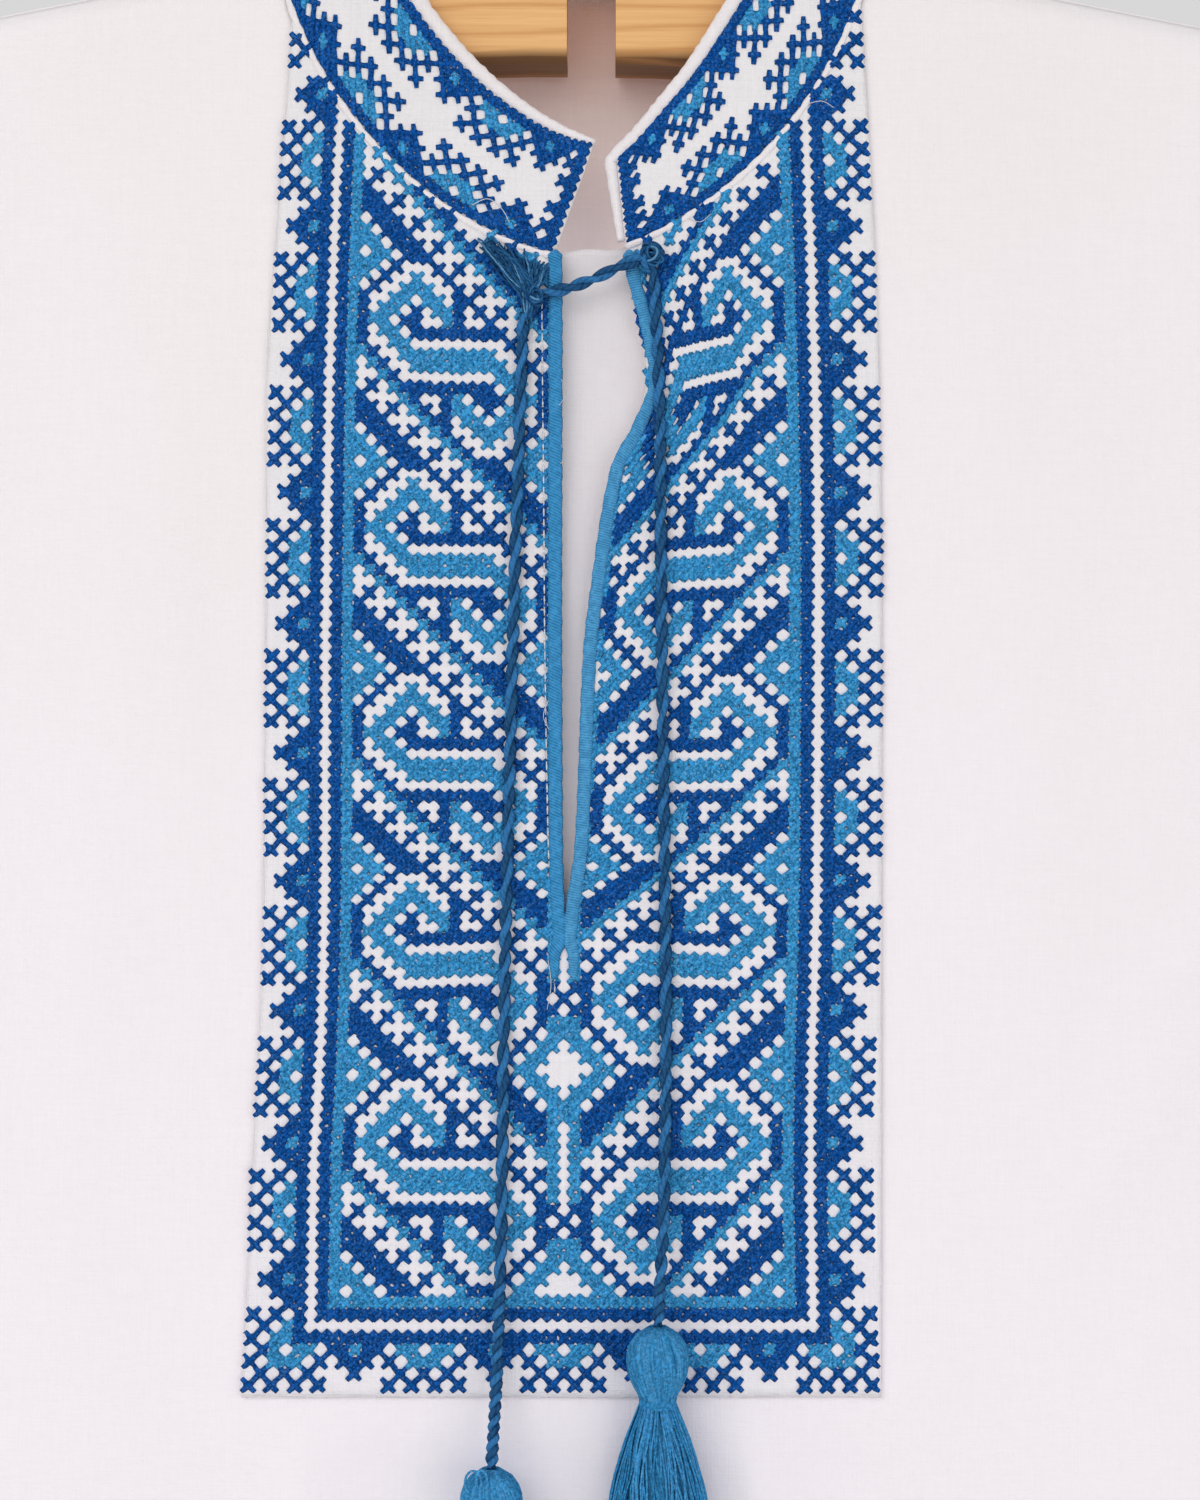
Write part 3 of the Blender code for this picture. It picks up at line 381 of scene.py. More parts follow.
class CordSizes(bpy.types.PropertyGroup):
    thick: length_property("Diameter", "Diameter of the twisted cord", 0.0036, 0.001, 0.01)
    lay: length_property("Lay", "Length of one full turn of the twist", 0.0130, 0.002, 0.03)
    tight_lay: length_property("Tight lay", "The same where the cord hangs free", 0.0058,
                               0.002, 0.03)
    dark: colour_property("Dark ply", "Darker ply of the cord", (0.003, 0.040, 0.160))
    light: colour_property("Light ply", "Lighter ply of the cord", (0.036, 0.190, 0.460))


class TasselSizes(bpy.types.PropertyGroup):
    threads: IntProperty(name="Threads", description="Threads in each tassel's skirt",
                         default=420, min=20, max=900)
    thread: length_property("Thread", "Radius of one thread", 0.00030, 0.0001, 0.002)
    colour: colour_property("Colour", "Thread of the tassels and bindings",
                            (0.046, 0.365, 0.775))


class HangerSizes(bpy.types.PropertyGroup):
    early: colour_property("Early wood", "Pale wood between the rings", (0.83, 0.48, 0.20))
    late: colour_property("Late wood", "Darker rings", (0.60, 0.28, 0.085))
    steel: colour_property("Steel", "Wire of the hook", (0.60, 0.61, 0.62))


class StageSizes(bpy.types.PropertyGroup):
    floor: length_property("Floor", "Height of the floor under the hook", -0.90, -3.0, 0.0)
    key: FloatProperty(name="Key light", description="Strength of the large soft light",
                       default=8.2, subtype="POWER", min=0.0, max=500.0)
    sky: FloatProperty(name="Fill", description="Strength of the light from all round",
                       default=0.685, min=0.0, max=5.0)


# ------------------------------------------------------------------ the cloth's forms


def read(rows, column, at):
    """Reads one column of a table between its rows, on a smooth curve through them."""
    table = np.array(rows, dtype=float)
    places, values = table[:, 0], table[:, column]
    slopes = np.diff(values) / np.diff(places)
    product = slopes[:-1] * slopes[1:]
    total = np.where(product > 0, slopes[:-1] + slopes[1:], 1.0)
    tangents = np.concatenate((slopes[:1], np.where(product > 0, 2 * product / total, 0.0),
                               slopes[-1:]))
    at = np.clip(np.asarray(at, dtype=float), places[0], places[-1])
    span = np.clip(np.searchsorted(places, at, side="left") - 1, 0, len(places) - 2)
    width = places[span + 1] - places[span]
    t = (at - places[span]) / width
    bend = t * (1 - t) * ((1 - t) * tangents[span] - t * tangents[span + 1]) * width
    return values[span] + (values[span + 1] - values[span]) * t * t * (3 - 2 * t) + bend


def between(rows, column, at):
    """Reads one column of a table in straight stretches."""
    return np.interp(at, [row[0] for row in rows], [row[column] for row in rows])


def blend(first, second, share):
    return first + (second - first) * share


def smooth_step(low, high, at):
    share = np.clip((at - low) / (high - low), 0.0, 1.0)
    return share * share * (3 - 2 * share)


def creases(x, z, lines):
    """Height of soft creases. Each wanders a little and fades at both of its ends."""
    total = 0.0
    for number, (x1, z1, x2, z2, width, height) in enumerate(lines):
        across, down = x2 - x1, z2 - z1
        length = math.hypot(across, down)
        t = ((x - x1) * across + (z - z1) * down) / length ** 2
        off = ((x - x1) * down - (z - z1) * across) / length
        off = off + 0.35 * width * np.sin(4.2 * t + 1.7 * number)
        spread = width * (0.8 + 0.35 * np.sin(2.6 * t + number))
        fade = smooth_step(-0.12, 0.32, t) * smooth_step(1.12, 0.68, t)
        total = total + height * np.exp(-(off / spread) ** 2) * fade
    return total


def ridge_height(x):
    across = np.abs(x)
    hump = NECK_RISE + RIDGE_HUMP * (1 - (across / NECK_HALF) ** 2)
    return np.where(across < NECK_HALF, hump, NECK_RISE - SHOULDER_SLOPE * (across - NECK_HALF))


def front_neckline(x):
    across = np.minimum(np.abs(x) / NECK_HALF, 1.0)
    return NECK_RISE * (1 - (1 - across ** NECK_POWER) ** (1 / NECK_POWER))


def back_neckline(x):
    across = np.minimum(np.abs(x) / NECK_HALF, 1.0)
    return BACK_NECK_RISE + (NECK_RISE - BACK_NECK_RISE) * across ** 3


def side_edge(z):
    return read(BODY, 1, z)


def armhole_depth(z):
    middle = (SHOULDER_TIP_Z + UNDERARM_Z) / 2
    half = (SHOULDER_TIP_Z - UNDERARM_Z) / 2
    share = np.minimum(np.abs(z - middle) / half, 1.0)
    return ARMHOLE_DEPTH * np.sqrt(1 - share * share)


def waves(x, z, wave):
    spacing, shift, sway, sway_width = wave
    grow = smooth_step(WAVE_START_Z, HEM_Z, z) * HEM_WAVE
    return grow * np.cos(2 * math.pi * (x + shift) / spacing + sway * np.sin(x / sway_width))


def drapes(x, z, drape):
    height, width, length, begins, full = drape
    slant = np.sin(np.abs(x) / width + z / length)
    return height * slant * smooth_step(begins, full, np.abs(x))


def front_fold(x, z):
    height, x0, z0, width, tall = LIFT
    lift = height * np.exp(-((x - x0) / width) ** 2 - ((z - z0) / tall) ** 2)
    soft = creases(x, z, FRONT_CREASES) + creases(x, z, PANEL_CREASES)
    strength = bpy.context.scene.shirt_cloth.crease
    return waves(x, z, FRONT_WAVE) + drapes(x, z, FRONT_DRAPE) + lift + soft * strength


def back_fold(x, z):
    strength = bpy.context.scene.shirt_cloth.crease
    soft = creases(x, z, BACK_CREASES)
    return waves(x, z, BACK_WAVE) + drapes(x, z, BACK_DRAPE) + soft * strength


def face_y(x, z, face, off=0.0):
    """Distance in front of or behind the middle: face -1 is the front's outer face."""
    below = np.maximum(ridge_height(x) - z, 0.0)
    over = np.sqrt(1 - (1 - np.minimum(below / RIDGE_DROP, 1.0)) ** 2)
    centre = read(BODY, 2, z)
    share = np.minimum(np.abs(x) / side_edge(z), 1.0)
    edge = armhole_depth(z)
    free = 1 - share ** read(BODY, 3, z)
    calm = smooth_step(0.015, 0.060, below) * free
    depth = edge + (centre - edge) * np.sqrt(free)
    fold = front_fold(x, z) if face < 0 else back_fold(x, z)
    return face * (np.maximum(depth * over + fold * calm, EDGE_GAP) + off)


def slit_edge(side, z):
    return read(SLIT, 1 if side < 0 else 2, z)


def stack(x, y, z):
    return np.stack(np.broadcast_arrays(x, y, z), axis=-1)


def hung(top, down):
    """Height under a top edge: down is 1 at the panel's foot and 2 at the hem."""
    return np.where(down <= 1, blend(top, PANEL_LOW_Z, np.minimum(down, 1)),
                    blend(PANEL_LOW_Z, HEM_Z, np.maximum(down - 1, 0)))


def panel_place(side, share, down, edge):
    """x and z of the front between the slit and an edge line, down from the neckline."""
    x = blend(slit_edge(side, 0.0), edge(0.06), share)
    for _ in range(8):
        top = front_neckline(x)
        x = blend(slit_edge(side, top), edge(top), share)
    z = hung(top, down)
    return blend(slit_edge(side, z), edge(z), share), z


def front_place(side, outwards, down):
    """x and z of the front. Outwards runs to 1 at the panel's line and to 2 at the side;
    down runs to 1 at the panel's foot and to 2 at the hem."""
    inner_x, inner_z = panel_place(side, np.minimum(outwards, 1), down,
                                   lambda z: side * read(PANEL_LINE, 1, z))
    mark = np.maximum(outwards - 1, 0) * (len(SIDE_COLUMNS) - 1)
    at_top, lower = between(SIDE_COLUMNS, 1, mark), between(SIDE_COLUMNS, 2, mark)
    top_x = blend(PANEL_LINE[-1][1], SHOULDER_TIP_X, at_top)
    top = np.where(top_x < NECK_HALF, front_neckline(top_x), ridge_height(top_x))
    z = hung(top, down)
    share = blend(at_top, lower, smooth_step(0.0, COLUMN_SETTLE, top - z))
    x = side * blend(read(PANEL_LINE, 1, z), side_edge(z), share)
    x = np.where(down <= 0, side * top_x, x)
    is_inner = outwards <= 1
    return np.where(is_inner, inner_x, x), np.where(is_inner, inner_z, z)


def back_place(across, down):
    """x and z of the back: across runs from -1 to 1, and down as on the front."""
    out = np.abs(across)
    neck_share = np.minimum(out / BACK_NECK_SHARE, 1.0)
    shoulder_share = np.maximum((out - BACK_NECK_SHARE) / (1 - BACK_NECK_SHARE), 0.0)
    neck_x = NECK_HALF * np.sin(neck_share * math.pi / 2) ** 0.9
    top_x = np.where(out < BACK_NECK_SHARE, neck_x,
                     blend(NECK_HALF, SHOULDER_TIP_X, shoulder_share))
    top = np.where(out < BACK_NECK_SHARE, back_neckline(neck_x), ridge_height(top_x))
    z = hung(top, down)
    settle = smooth_step(0.0, COLUMN_SETTLE, top - z)
    x = blend(top_x / SHOULDER_TIP_X, out, settle) * side_edge(z)
    x = np.where(down <= 0, top_x, x)
    return np.sign(across) * x, z


def sleeve_place(side, around, along, proud=0.0):
    """Around runs from the outer edge over the front to the inner edge and back behind."""
    angle = 2 * math.pi * around
    to_outer = (1 + np.cos(angle)) / 2
    x = blend(read(SLEEVE, 3, along), read(SLEEVE, 1, along), to_outer)
    z = blend(read(SLEEVE, 4, along), read(SLEEVE, 2, along), to_outer)
    straight = blend(SLEEVE[0][3], SLEEVE[0][1], to_outer)
    armhole_z = blend(UNDERARM_Z, SHOULDER_TIP_Z, to_outer)
    x = x + (side_edge(armhole_z) - straight) * (1 - along) ** 3 + SLEEVE_JOIN
    fold = SLEEVE_FOLD * np.sin(math.pi / 2 * np.minimum(along * 1.6, 1.0)) ** 2
    wave = np.cos(SLEEVE_FOLDS * angle + 5 * along) * np.minimum(along * 4, 1.0)
    depth = read(SLEEVE, 5, along)
    lap = np.sin(angle)
    soft = creases(around % 1.0, along, SLEEVE_CREASES) * np.minimum(along * 6, 1.0)
    y = -lap * depth - np.sign(lap) * (fold * wave + soft) * np.abs(lap)
    y = y - np.sign(lap) * proud * np.abs(lap)
    return stack(side * (x + proud * np.cos(angle)), y, z)


def collar_frames(side, count):
    """Foot, upward and outward directions of the band, evenly from its end to centre back."""
    start = abs(slit_edge(side, 0.0)) / NECK_HALF
    first = math.asin(start ** (NECK_POWER / 2))
    turn = np.linspace(first, math.pi / 2, 400)
    x = NECK_HALF * np.sin(turn) ** (2 / NECK_POWER)
    front = stack(side * x, face_y(side * x, front_neckline(x), -1), front_neckline(x))
    x = NECK_HALF * np.sin(np.linspace(math.pi / 2, 0.0, 400))
    back = stack(side * x, face_y(side * x, back_neckline(x), 1), back_neckline(x))
    line = even(relaxed(even(np.concatenate((front, back[1:])), 241), 6), count)
    tangent = np.gradient(line, axis=0)
    along = np.linspace(0.0, 1.0, count)
    lean = np.radians(read(COLLAR_LEAN, 1 if side < 0 else 2, along))
    upward = unit(stack(-side * np.sin(lean), read(COLLAR_LEAN, 3, along), np.cos(lean)))
    outward = unit(np.cross(unit(tangent), upward) * side)
    return line, upward, outward


def band_height(along):
    """Height of the collar band, which is cut lower towards its right end."""
    return COLLAR_HEIGHT * read(COLLAR_CUT, 1, along)


def whole_collar(columns):
    """The band's frames from its left end round the back to its right."""
    left = collar_frames(-1, columns // 2 + 1)
    right = collar_frames(1, columns // 2 + 1)
    frames = [np.concatenate((a, b[::-1][1:])) for a, b in zip(left, right)]
    frames[2] = unit(relaxed(frames[2], 2))
    return frames


def unit(vectors):
    return vectors / np.maximum(np.linalg.norm(vectors, axis=-1, keepdims=True), 1e-12)


def relaxed(line, times):
    """A line eased towards its neighbours, with its ends kept."""
    for _ in range(times):
        line[1:-1] = (line[:-2] + 2 * line[1:-1] + line[2:]) / 4
    return line


def line_at(line, at, marks):
    """Points of a line whose own points are at these marks."""
    return np.stack([np.interp(at, marks, line[:, axis]) for axis in range(3)], axis=-1)


def even(points, count):
    """The given number of points, evenly apart along a line."""
    lengths = np.concatenate(([0.0], np.cumsum(np.linalg.norm(np.diff(points, axis=0), axis=1))))
    wanted = np.linspace(0.0, lengths[-1], count)
    return line_at(points, wanted, lengths)


def smooth_line(marks, count):
    """Evenly spaced points of a smooth curve through given marks."""
    marks = np.array(marks, dtype=float)
    before = np.concatenate((marks[:1], marks[:-2]))
    beyond = np.concatenate((marks[2:], marks[-1:]))
    t = np.linspace(0.0, 1.0, 24, endpoint=False)[:, None]
    fine = []
    for a, b, c, d in zip(before, marks[:-1], marks[1:], beyond):
        fine.append(0.5 * (2 * b + (c - a) * t + (2 * a - 5 * b + 4 * c - d) * t ** 2
                           + (3 * b - a - 3 * c + d) * t ** 3))
    fine.append(marks[-1:])
    return even(np.concatenate(fine), count)


def path_length(points):
    return float(np.linalg.norm(np.diff(points, axis=0), axis=1).sum())


# ------------------------------------------------------------------- making of pieces


def finish(name, mesh, paints, nodes=()):
    """An object at the shirt's place, with its materials, that stands for these nodes."""
    piece = bpy.data.objects.new(name, mesh)
    bpy.context.scene.collection.objects.link(piece)
    for paint in paints:
        mesh.materials.append(paint)
    mesh.shade_smooth()
    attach(piece, "root")
    if nodes:
        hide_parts(*nodes)
    return piece


def to_mesh(bm, name):
    mesh = bpy.data.meshes.new(name)
    bm.to_mesh(mesh)
    bm.free()
    return mesh


def fetched(items, key, width, kind=np.float32):
    """One value of all a mesh's vertices, corners or faces."""
    values = np.empty(len(items) * width, kind)
    items.foreach_get(key, values)
    return values.reshape(-1, width)


def to_world(points):
    return (points + NECK_POINT).astype(np.float32).ravel()


def merged(bm, distance):
    bmesh.ops.remove_doubles(bm, verts=bm.verts[:], dist=distance)


def grid_mesh(name, columns, rows, place, keep=None, wrap=False):
    """A grid laid out by place(u, v), both from 0 to 1, without the faces that keep drops."""
    bm = bmesh.new()
    bmesh.ops.create_grid(bm, x_segments=columns, y_segments=rows, size=1.0)
    if keep is not None:
        dropped = [face for face in bm.faces
                   if not keep((face.calc_center_median().x + 1) / 2,
                               (face.calc_center_median().y + 1) / 2)]
        bmesh.ops.delete(bm, geom=dropped, context="FACES")
    mesh = to_mesh(bm, name)
    flat = (fetched(mesh.vertices, "co", 3).astype(float) + 1) / 2
    mesh.vertices.foreach_set("co", to_world(place(flat[:, 0], flat[:, 1])))
    if wrap:
        bm = bmesh.new()
        bm.from_mesh(mesh)
        merged(bm, 1e-6)
        bm.to_mesh(mesh)
        bm.free()
    mesh.update()
    return mesh


def face_towards(mesh, way, spread=(0, 0, 0)):
    """Turns an open sheet over if its faces look away from a direction; spread adds to it
    with each face's place."""
    normals, centres = (fetched(mesh.polygons, key, 3) for key in ("normal", "center"))
    if (normals * (np.array(way) + centres * np.array(spread))).sum() < 0:
        mesh.flip_normals()


def walled(piece, thickness, inner=0):
    """Gives a sheet its thickness on its inner side."""
    wall = piece.modifiers.new("Wall", "SOLIDIFY")
    wall.thickness = thickness
    wall.offset = -1.0
    wall.use_even_offset = False
    wall.material_offset = inner
    wall.material_offset_rim = inner
    return piece


def tube_pattern(rings, sides):
    """One closed tube: each vertex knows its ring and its way round, as a cosine and a sine."""
    bm = bmesh.new()
    bmesh.ops.create_grid(bm, x_segments=rings - 1, y_segments=sides, size=1.0)
    for vert in bm.verts:
        turn = math.pi * (vert.co.y + 1)
        ring = round((vert.co.x + 1) / 2 * (rings - 1))
        vert.co = Vector((ring, math.cos(turn), math.sin(turn)))
    merged(bm, 1e-4)
    bmesh.ops.holes_fill(bm, edges=[edge for edge in bm.edges if edge.is_boundary], sides=0)
    bmesh.ops.recalc_face_normals(bm, faces=bm.faces[:])
    mesh = to_mesh(bm, "pattern")
    pattern = SimpleNamespace(
        points=fetched(mesh.vertices, "co", 3, float),
        corners=fetched(mesh.loops, "vertex_index", 1, np.int32).ravel(),
        starts=fetched(mesh.polygons, "loop_start", 1, np.int32).ravel())
    bpy.data.meshes.remove(mesh)
    return pattern


def tubes(name, paths, wide, tall=None, sides=8, facing=(0, 1, 0), slots=None):
    """Joins one closed tube for each path: wide and tall are its radii, across and towards
    the facing side. The thread attribute holds the way round, the way along and a shade."""
    paths = np.asarray(paths, dtype=float)
    count, rings = paths.shape[:2]
    wide = np.broadcast_to(np.asarray(wide, dtype=float), (count, rings))
    tall = wide if tall is None else np.broadcast_to(np.asarray(tall, float), (count, rings))
    facing = np.broadcast_to(np.asarray(facing, dtype=float), paths.shape)
    tangent = unit(np.gradient(paths, axis=1))
    first = unit(np.cross(facing, tangent))
    second = np.cross(tangent, first)
    pattern = tube_pattern(rings, sides)
    ring = np.round(pattern.points[:, 0]).astype(int)
    cosine, sine = pattern.points[:, 1], pattern.points[:, 2]
    points = (paths[:, ring]
              + first[:, ring] * (wide[:, ring] * cosine)[..., None]
              + second[:, ring] * (tall[:, ring] * sine)[..., None])
    steps = np.linalg.norm(np.diff(paths, axis=1), axis=2)
    along = np.concatenate((np.zeros((count, 1)), np.cumsum(steps, axis=1)), axis=1)
    shade = np.broadcast_to(np.random.default_rng(len(name)).random(count)[:, None],
                            (count, len(ring)))
    thread = np.stack((np.broadcast_to(np.arctan2(sine, cosine), (count, len(ring))),
                       along[:, ring], shade), axis=-1)
    size = len(ring)
    mesh = bpy.data.meshes.new(name)
    mesh.vertices.add(count * size)
    mesh.vertices.foreach_set("co", to_world(points.reshape(-1, 3)))
    mesh.loops.add(count * len(pattern.corners))
    copies = np.arange(count)[:, None]
    mesh.loops.foreach_set("vertex_index",
                           (pattern.corners[None] + copies * size).astype(np.int32).ravel())
    mesh.polygons.add(count * len(pattern.starts))
    starts = (pattern.starts[None] + copies * len(pattern.corners)).astype(np.int32)
    mesh.polygons.foreach_set("loop_start", starts.ravel())
    if slots is not None:
        chosen = np.repeat(np.asarray(slots, np.int32), len(pattern.starts))
        mesh.polygons.foreach_set("material_index", chosen)
    mesh.update(calc_edges=True)
    made = mesh.attributes.new("thread", "FLOAT_VECTOR", "POINT")
    made.data.foreach_set("vector", thread.astype(np.float32).ravel())
    return mesh


def add_tubes(name, paints, paths, wide, nodes=(), slot="cotton", **form):
    return finish(name, tubes(name, paths, wide, **form), paints, nodes)


def blunt(count, rings):
    """Share of the full radius along a tube, less over the rings at both of its ends."""
    order = np.arange(count)
    return np.minimum(1.0, np.minimum(order, order[::-1]) / rings + 0.3)


def on_front(x, z, off):
    """Points in front of the cloth, off its outer face."""
    x, z = np.asarray(x, dtype=float), np.asarray(z, dtype=float)
    return stack(x, face_y(x, z, -1, off), z)


def dashes(path, length=0.0024, gap=0.0007):
    """Short paths of machine stitches along a line."""
    total = path_length(path)
    count = int(total / (length + gap))
    dense = even(path, count * 10 + 1)
    filled = max(2, round(10 * length / (length + gap)))
    starts = np.arange(count) * 10
    picked = np.stack((starts, starts + filled // 2, starts + filled), axis=1)
    return dense[np.minimum(picked, len(dense) - 1)]


# ------------------------------------------------------------------------- materials


class Shade:
    """A socket of a material. Arithmetic on it adds the nodes that work it out."""

    def __init__(self, paint, socket):
        self.paint = paint
        self.socket = socket

    def maths(self, operation, first, second):
        return self.paint.node("Math", {"operation": operation}, {0: first, 1: second})

    def __add__(self, other):
        return self.maths("ADD", self, other)

    def __radd__(self, other):
        return self.maths("ADD", other, self)

    def __sub__(self, other):
        return self.maths("SUBTRACT", self, other)

    def __rsub__(self, other):
        return self.maths("SUBTRACT", other, self)

    def __mul__(self, other):
        return self.maths("MULTIPLY", self, other)

    def __rmul__(self, other):
        return self.maths("MULTIPLY", other, self)

    def __pow__(self, other):
        return self.maths("POWER", self, other)


class Paint:
    """A material under making."""

    def __init__(self, name, roughness, metallic=0.0, sheen=0.0, specular=0.3):
        self.material = bpy.data.materials.new(name)
        self.material.use_nodes = True
        self.tree = self.material.node_tree
        self.shader = self.tree.nodes["Principled BSDF"]
        self.shader.inputs["Roughness"].default_value = roughness
        self.shader.inputs["Metallic"].default_value = metallic
        self.shader.inputs["Sheen Weight"].default_value = sheen
        self.shader.inputs["Specular IOR Level"].default_value = specular
        self.place = self.node("TexCoord", output=3)

    def feed(self, socket, value):
        if isinstance(value, Shade):
            self.tree.links.new(value.socket, socket)
        elif socket.type == "RGBA":
            socket.default_value = (*value, 1.0)
        else:
            socket.default_value = value

    def node(self, kind, settings=None, inputs=None, output=0):
        made = self.tree.nodes.new("ShaderNode" + kind)
        for key, value in (settings or {}).items():
            setattr(made, key, value)
        for key, value in (inputs or {}).items():
            self.feed(made.inputs[key], value)
        return Shade(self, made.outputs[output])

    def part(self, vector, axis):
        return self.node("SeparateXYZ", inputs={0: vector}, output=axis)

    def thread(self, axis):
        """The way round a tube, the way along it or its own shade."""
        return self.part(self.node("Attribute", {"attribute_name": "thread"}, output=1), axis)

    def noise(self, scale, detail=3.0, roughness=0.5, place=None):
        return self.node("TexNoise", inputs={"Vector": place or self.place, "Scale": scale,
                                             "Detail": detail, "Roughness": roughness})

    def grain(self, scales, detail=1.0, roughness=0.5):
        """Noise with a scale of its own along each axis."""
        place = self.node("Mapping", inputs={"Vector": self.place, "Scale": scales})
        return self.noise(1.0, detail, roughness, place)

    def ridge(self, value):
        """Goes from 0 to 1 and back each time the value grows by 1."""
        return self.node("Math", {"operation": "PINGPONG"}, {0: value, 1: 0.5}) * 2.0

    def clear(self, value, low, high, to_low=0.0, to_high=1.0):
        return self.node("MapRange", {"clamp": True},
                         {0: value, 1: low, 2: high, 3: to_low, 4: to_high})

    def mix(self, share, first, second):
        return self.node("Mix", {"data_type": "RGBA"}, {0: share, 6: first, 7: second}, output=2)

    def dimmed(self, colour, share):
        """A colour link made darker, through a Mix set to multiply."""
        return self.node("Mix", {"data_type": "RGBA", "blend_type": "MULTIPLY"},
                         {0: 1.0, 6: colour, 7: (share, share, share)}, output=2)

    def colour(self, value):
        self.feed(self.shader.inputs["Base Color"], value)

    def roughness(self, value):
        self.feed(self.shader.inputs["Roughness"], value)

    def bump(self, height, distance, strength=1.0):
        normal = self.node("Bump", inputs={"Height": height, "Distance": distance,
                                           "Strength": strength})
        self.feed(self.shader.inputs["Normal"], normal)


def blend_colour(first, second, share):
    return tuple(blend(a, b, share) for a, b in zip(first, second))


def darker(colour, share):
    return tuple(part * share for part in colour)


def cloth_paint(name, colour, warm, streak=0.018, weave=0.00008, through=None):
    """Plain-woven cotton: slubs both ways, a fine weave, a little uneven yellowing, and painted
    light that makes it paler lower down. Where through is given, a painted glow, dim at its top
    and pale lower down, stands in for the light and shade there."""
    paint = Paint(name, 0.88, sheen=0.05, specular=0.15)
    slub = paint.clear(paint.grain((90, 90, 2400), 4.0, 0.65)
                       + paint.grain((2400, 90, 70), 4.0, 0.65), 0.75, 1.25)
    aged = paint.clear(paint.noise(7.0, 2.0), 0.42, 0.68)
    height = paint.part(paint.place, 2)
    # Painted light: between these heights every cotton turns to a paler copy of its colour,
    # palest lowest down.
    low = paint.clear(height, -0.15, -0.50)
    painted_light_colour = tuple(min(1.0, part * share) for part, share in zip(colour, (1.045, 1.04, 1.075)))
    ground = paint.mix(low, paint.mix(aged * 0.55, colour, warm), painted_light_colour)
    paint.colour(paint.mix(slub, paint.dimmed(ground, 1 - streak * 1.6), ground))
    weft, warp = paint.grain((3200, 3200, 900)), paint.grain((900, 900, 3200))
    paint.bump(weft + warp + slub + paint.noise(55.0, 4.0, 0.55) * 6.0, weave)
    # Painted light and shade: an emission glow, dim at the top and pale lower down.
    if through:
        painted_glow_share = paint.clear(height, -0.120, -0.180)
        paint.feed(paint.shader.inputs["Emission Color"], paint.mix(painted_glow_share, *through))
        paint.shader.inputs["Emission Strength"].default_value = 1.0
    return paint.material


def thread_paint(name, colour, mottle=0.55, pale=0.12):
    """Fuzzy cotton yarn: a shade for each thread, mottled along it, with paler fibres."""
    paint = Paint(name, 0.9, specular=0.08)
    blotch = paint.clear(paint.noise(1150.0, 2.0, 0.6), 0.42, 0.58)
    fibre = paint.clear(paint.noise(1500.0, 2.0, 0.6), 0.53, 0.63)
    deep = paint.mix(blotch * mottle + paint.thread(2) * 0.20, colour, darker(colour, 0.38))
    paint.colour(paint.mix(fibre * pale, deep, blend_colour(colour, SPECK, 0.34)))
    paint.bump(blotch + paint.noise(2600.0, 2.0) * 1.3, 0.00016)
    return paint.material


def yarn_paint(name, colour, second, turns=3.0, length=0.0022):
    """A twisted ply: fine strands wind round it in two shades."""
    paint = Paint(name, 0.85, specular=0.1)
    strand = paint.ridge(paint.thread(0) * (turns / (2 * math.pi))
                         + paint.thread(1) * (1 / length))
    blotch = paint.noise(420.0, 4.0, 0.65)
    share = paint.clear(blotch + strand * 0.25 + paint.thread(2) * 0.18, 0.42, 0.80)
    fibre = paint.clear(paint.noise(2600.0, 2.0), 0.62, 0.80)
    body = paint.mix(share, colour, second)
    paint.colour(paint.mix(fibre * 0.30, body, blend_colour(second, SPECK, 0.45)))
    paint.bump(strand + blotch * 0.6, 0.00030)
    return paint.material


def satin_paint(name, colour, spacing, slant):
    """Close satin stitches that lie across an edge, each a little ridge, with painted
    shade in the grooves between them.
    """
    paint = Paint(name, 0.60, specular=0.2)
    wander = paint.noise(260.0, 3.0) * 0.9
    ridge = paint.ridge(paint.thread(1) * (1 / spacing) + paint.thread(0) * slant + wander)
    # Paler in random patches.
    pale_patches = paint.clear(paint.noise(700.0, 3.0, 0.6), 0.40, 0.72)
    # Painted shade: the colour darkens in the grooves between the ridges.
    deep = paint.mix(ridge, darker(colour, 0.45), colour)
    pale = tuple(min(1.0, part * 1.35 + 0.04) for part in colour)
    paint.colour(paint.mix(pale_patches * 0.45, deep, pale))
    paint.bump(ridge + pale_patches * 0.5, 0.00022)
    return paint.material


def wood_paint(name, early, late):
    """Planed pine: long rings, fine fibre and a few small flecks, and painted shade on the
    board's underside below its foot.
    """
    paint = Paint(name, 0.5, specular=0.35)
    across, deep, height = (paint.part(paint.place, axis) for axis in range(3))
    bent = paint.grain((4, 30, 30), 2.0)
    ring = paint.ridge(height * 150.0 + deep * 90.0 + bent * 3.4)
    fibre = paint.grain((22, 900, 900), 4.0, 0.7)
    rings = paint.clear(ring, 0.45, 1.0) ** 2.0
    ground = paint.mix(rings * 0.75, early, late)
    flecks = paint.clear(paint.grain((40, 1400, 1400), 2.0), 0.62, 0.72)
    # Painted shade: below the board's foot line and behind its front face the wood is painted
    # dark.
    lowered = height + across * across * BOARD_CURVE
    painted_shade_foot = (paint.clear(lowered, BOARD_FOOT_Z, BOARD_FOOT_Z - 0.0005)
            * paint.clear(deep, -0.0108, -0.0098))
    grained = paint.mix(paint.clear(fibre, 0.35, 0.75) * 0.35 + flecks * 0.3, ground,
                        darker(late, 0.85))
    # The dark colour of the painted shade on the underside.
    under = paint.mix(rings, darker(late, 0.26), darker(late, 0.55))
    paint.colour(paint.mix(painted_shade_foot, grained, under))
    paint.roughness(paint.clear(fibre, 0.2, 0.8, 0.42, 0.62))
    paint.bump(fibre + rings * 0.4, 0.00012)
    return paint.material


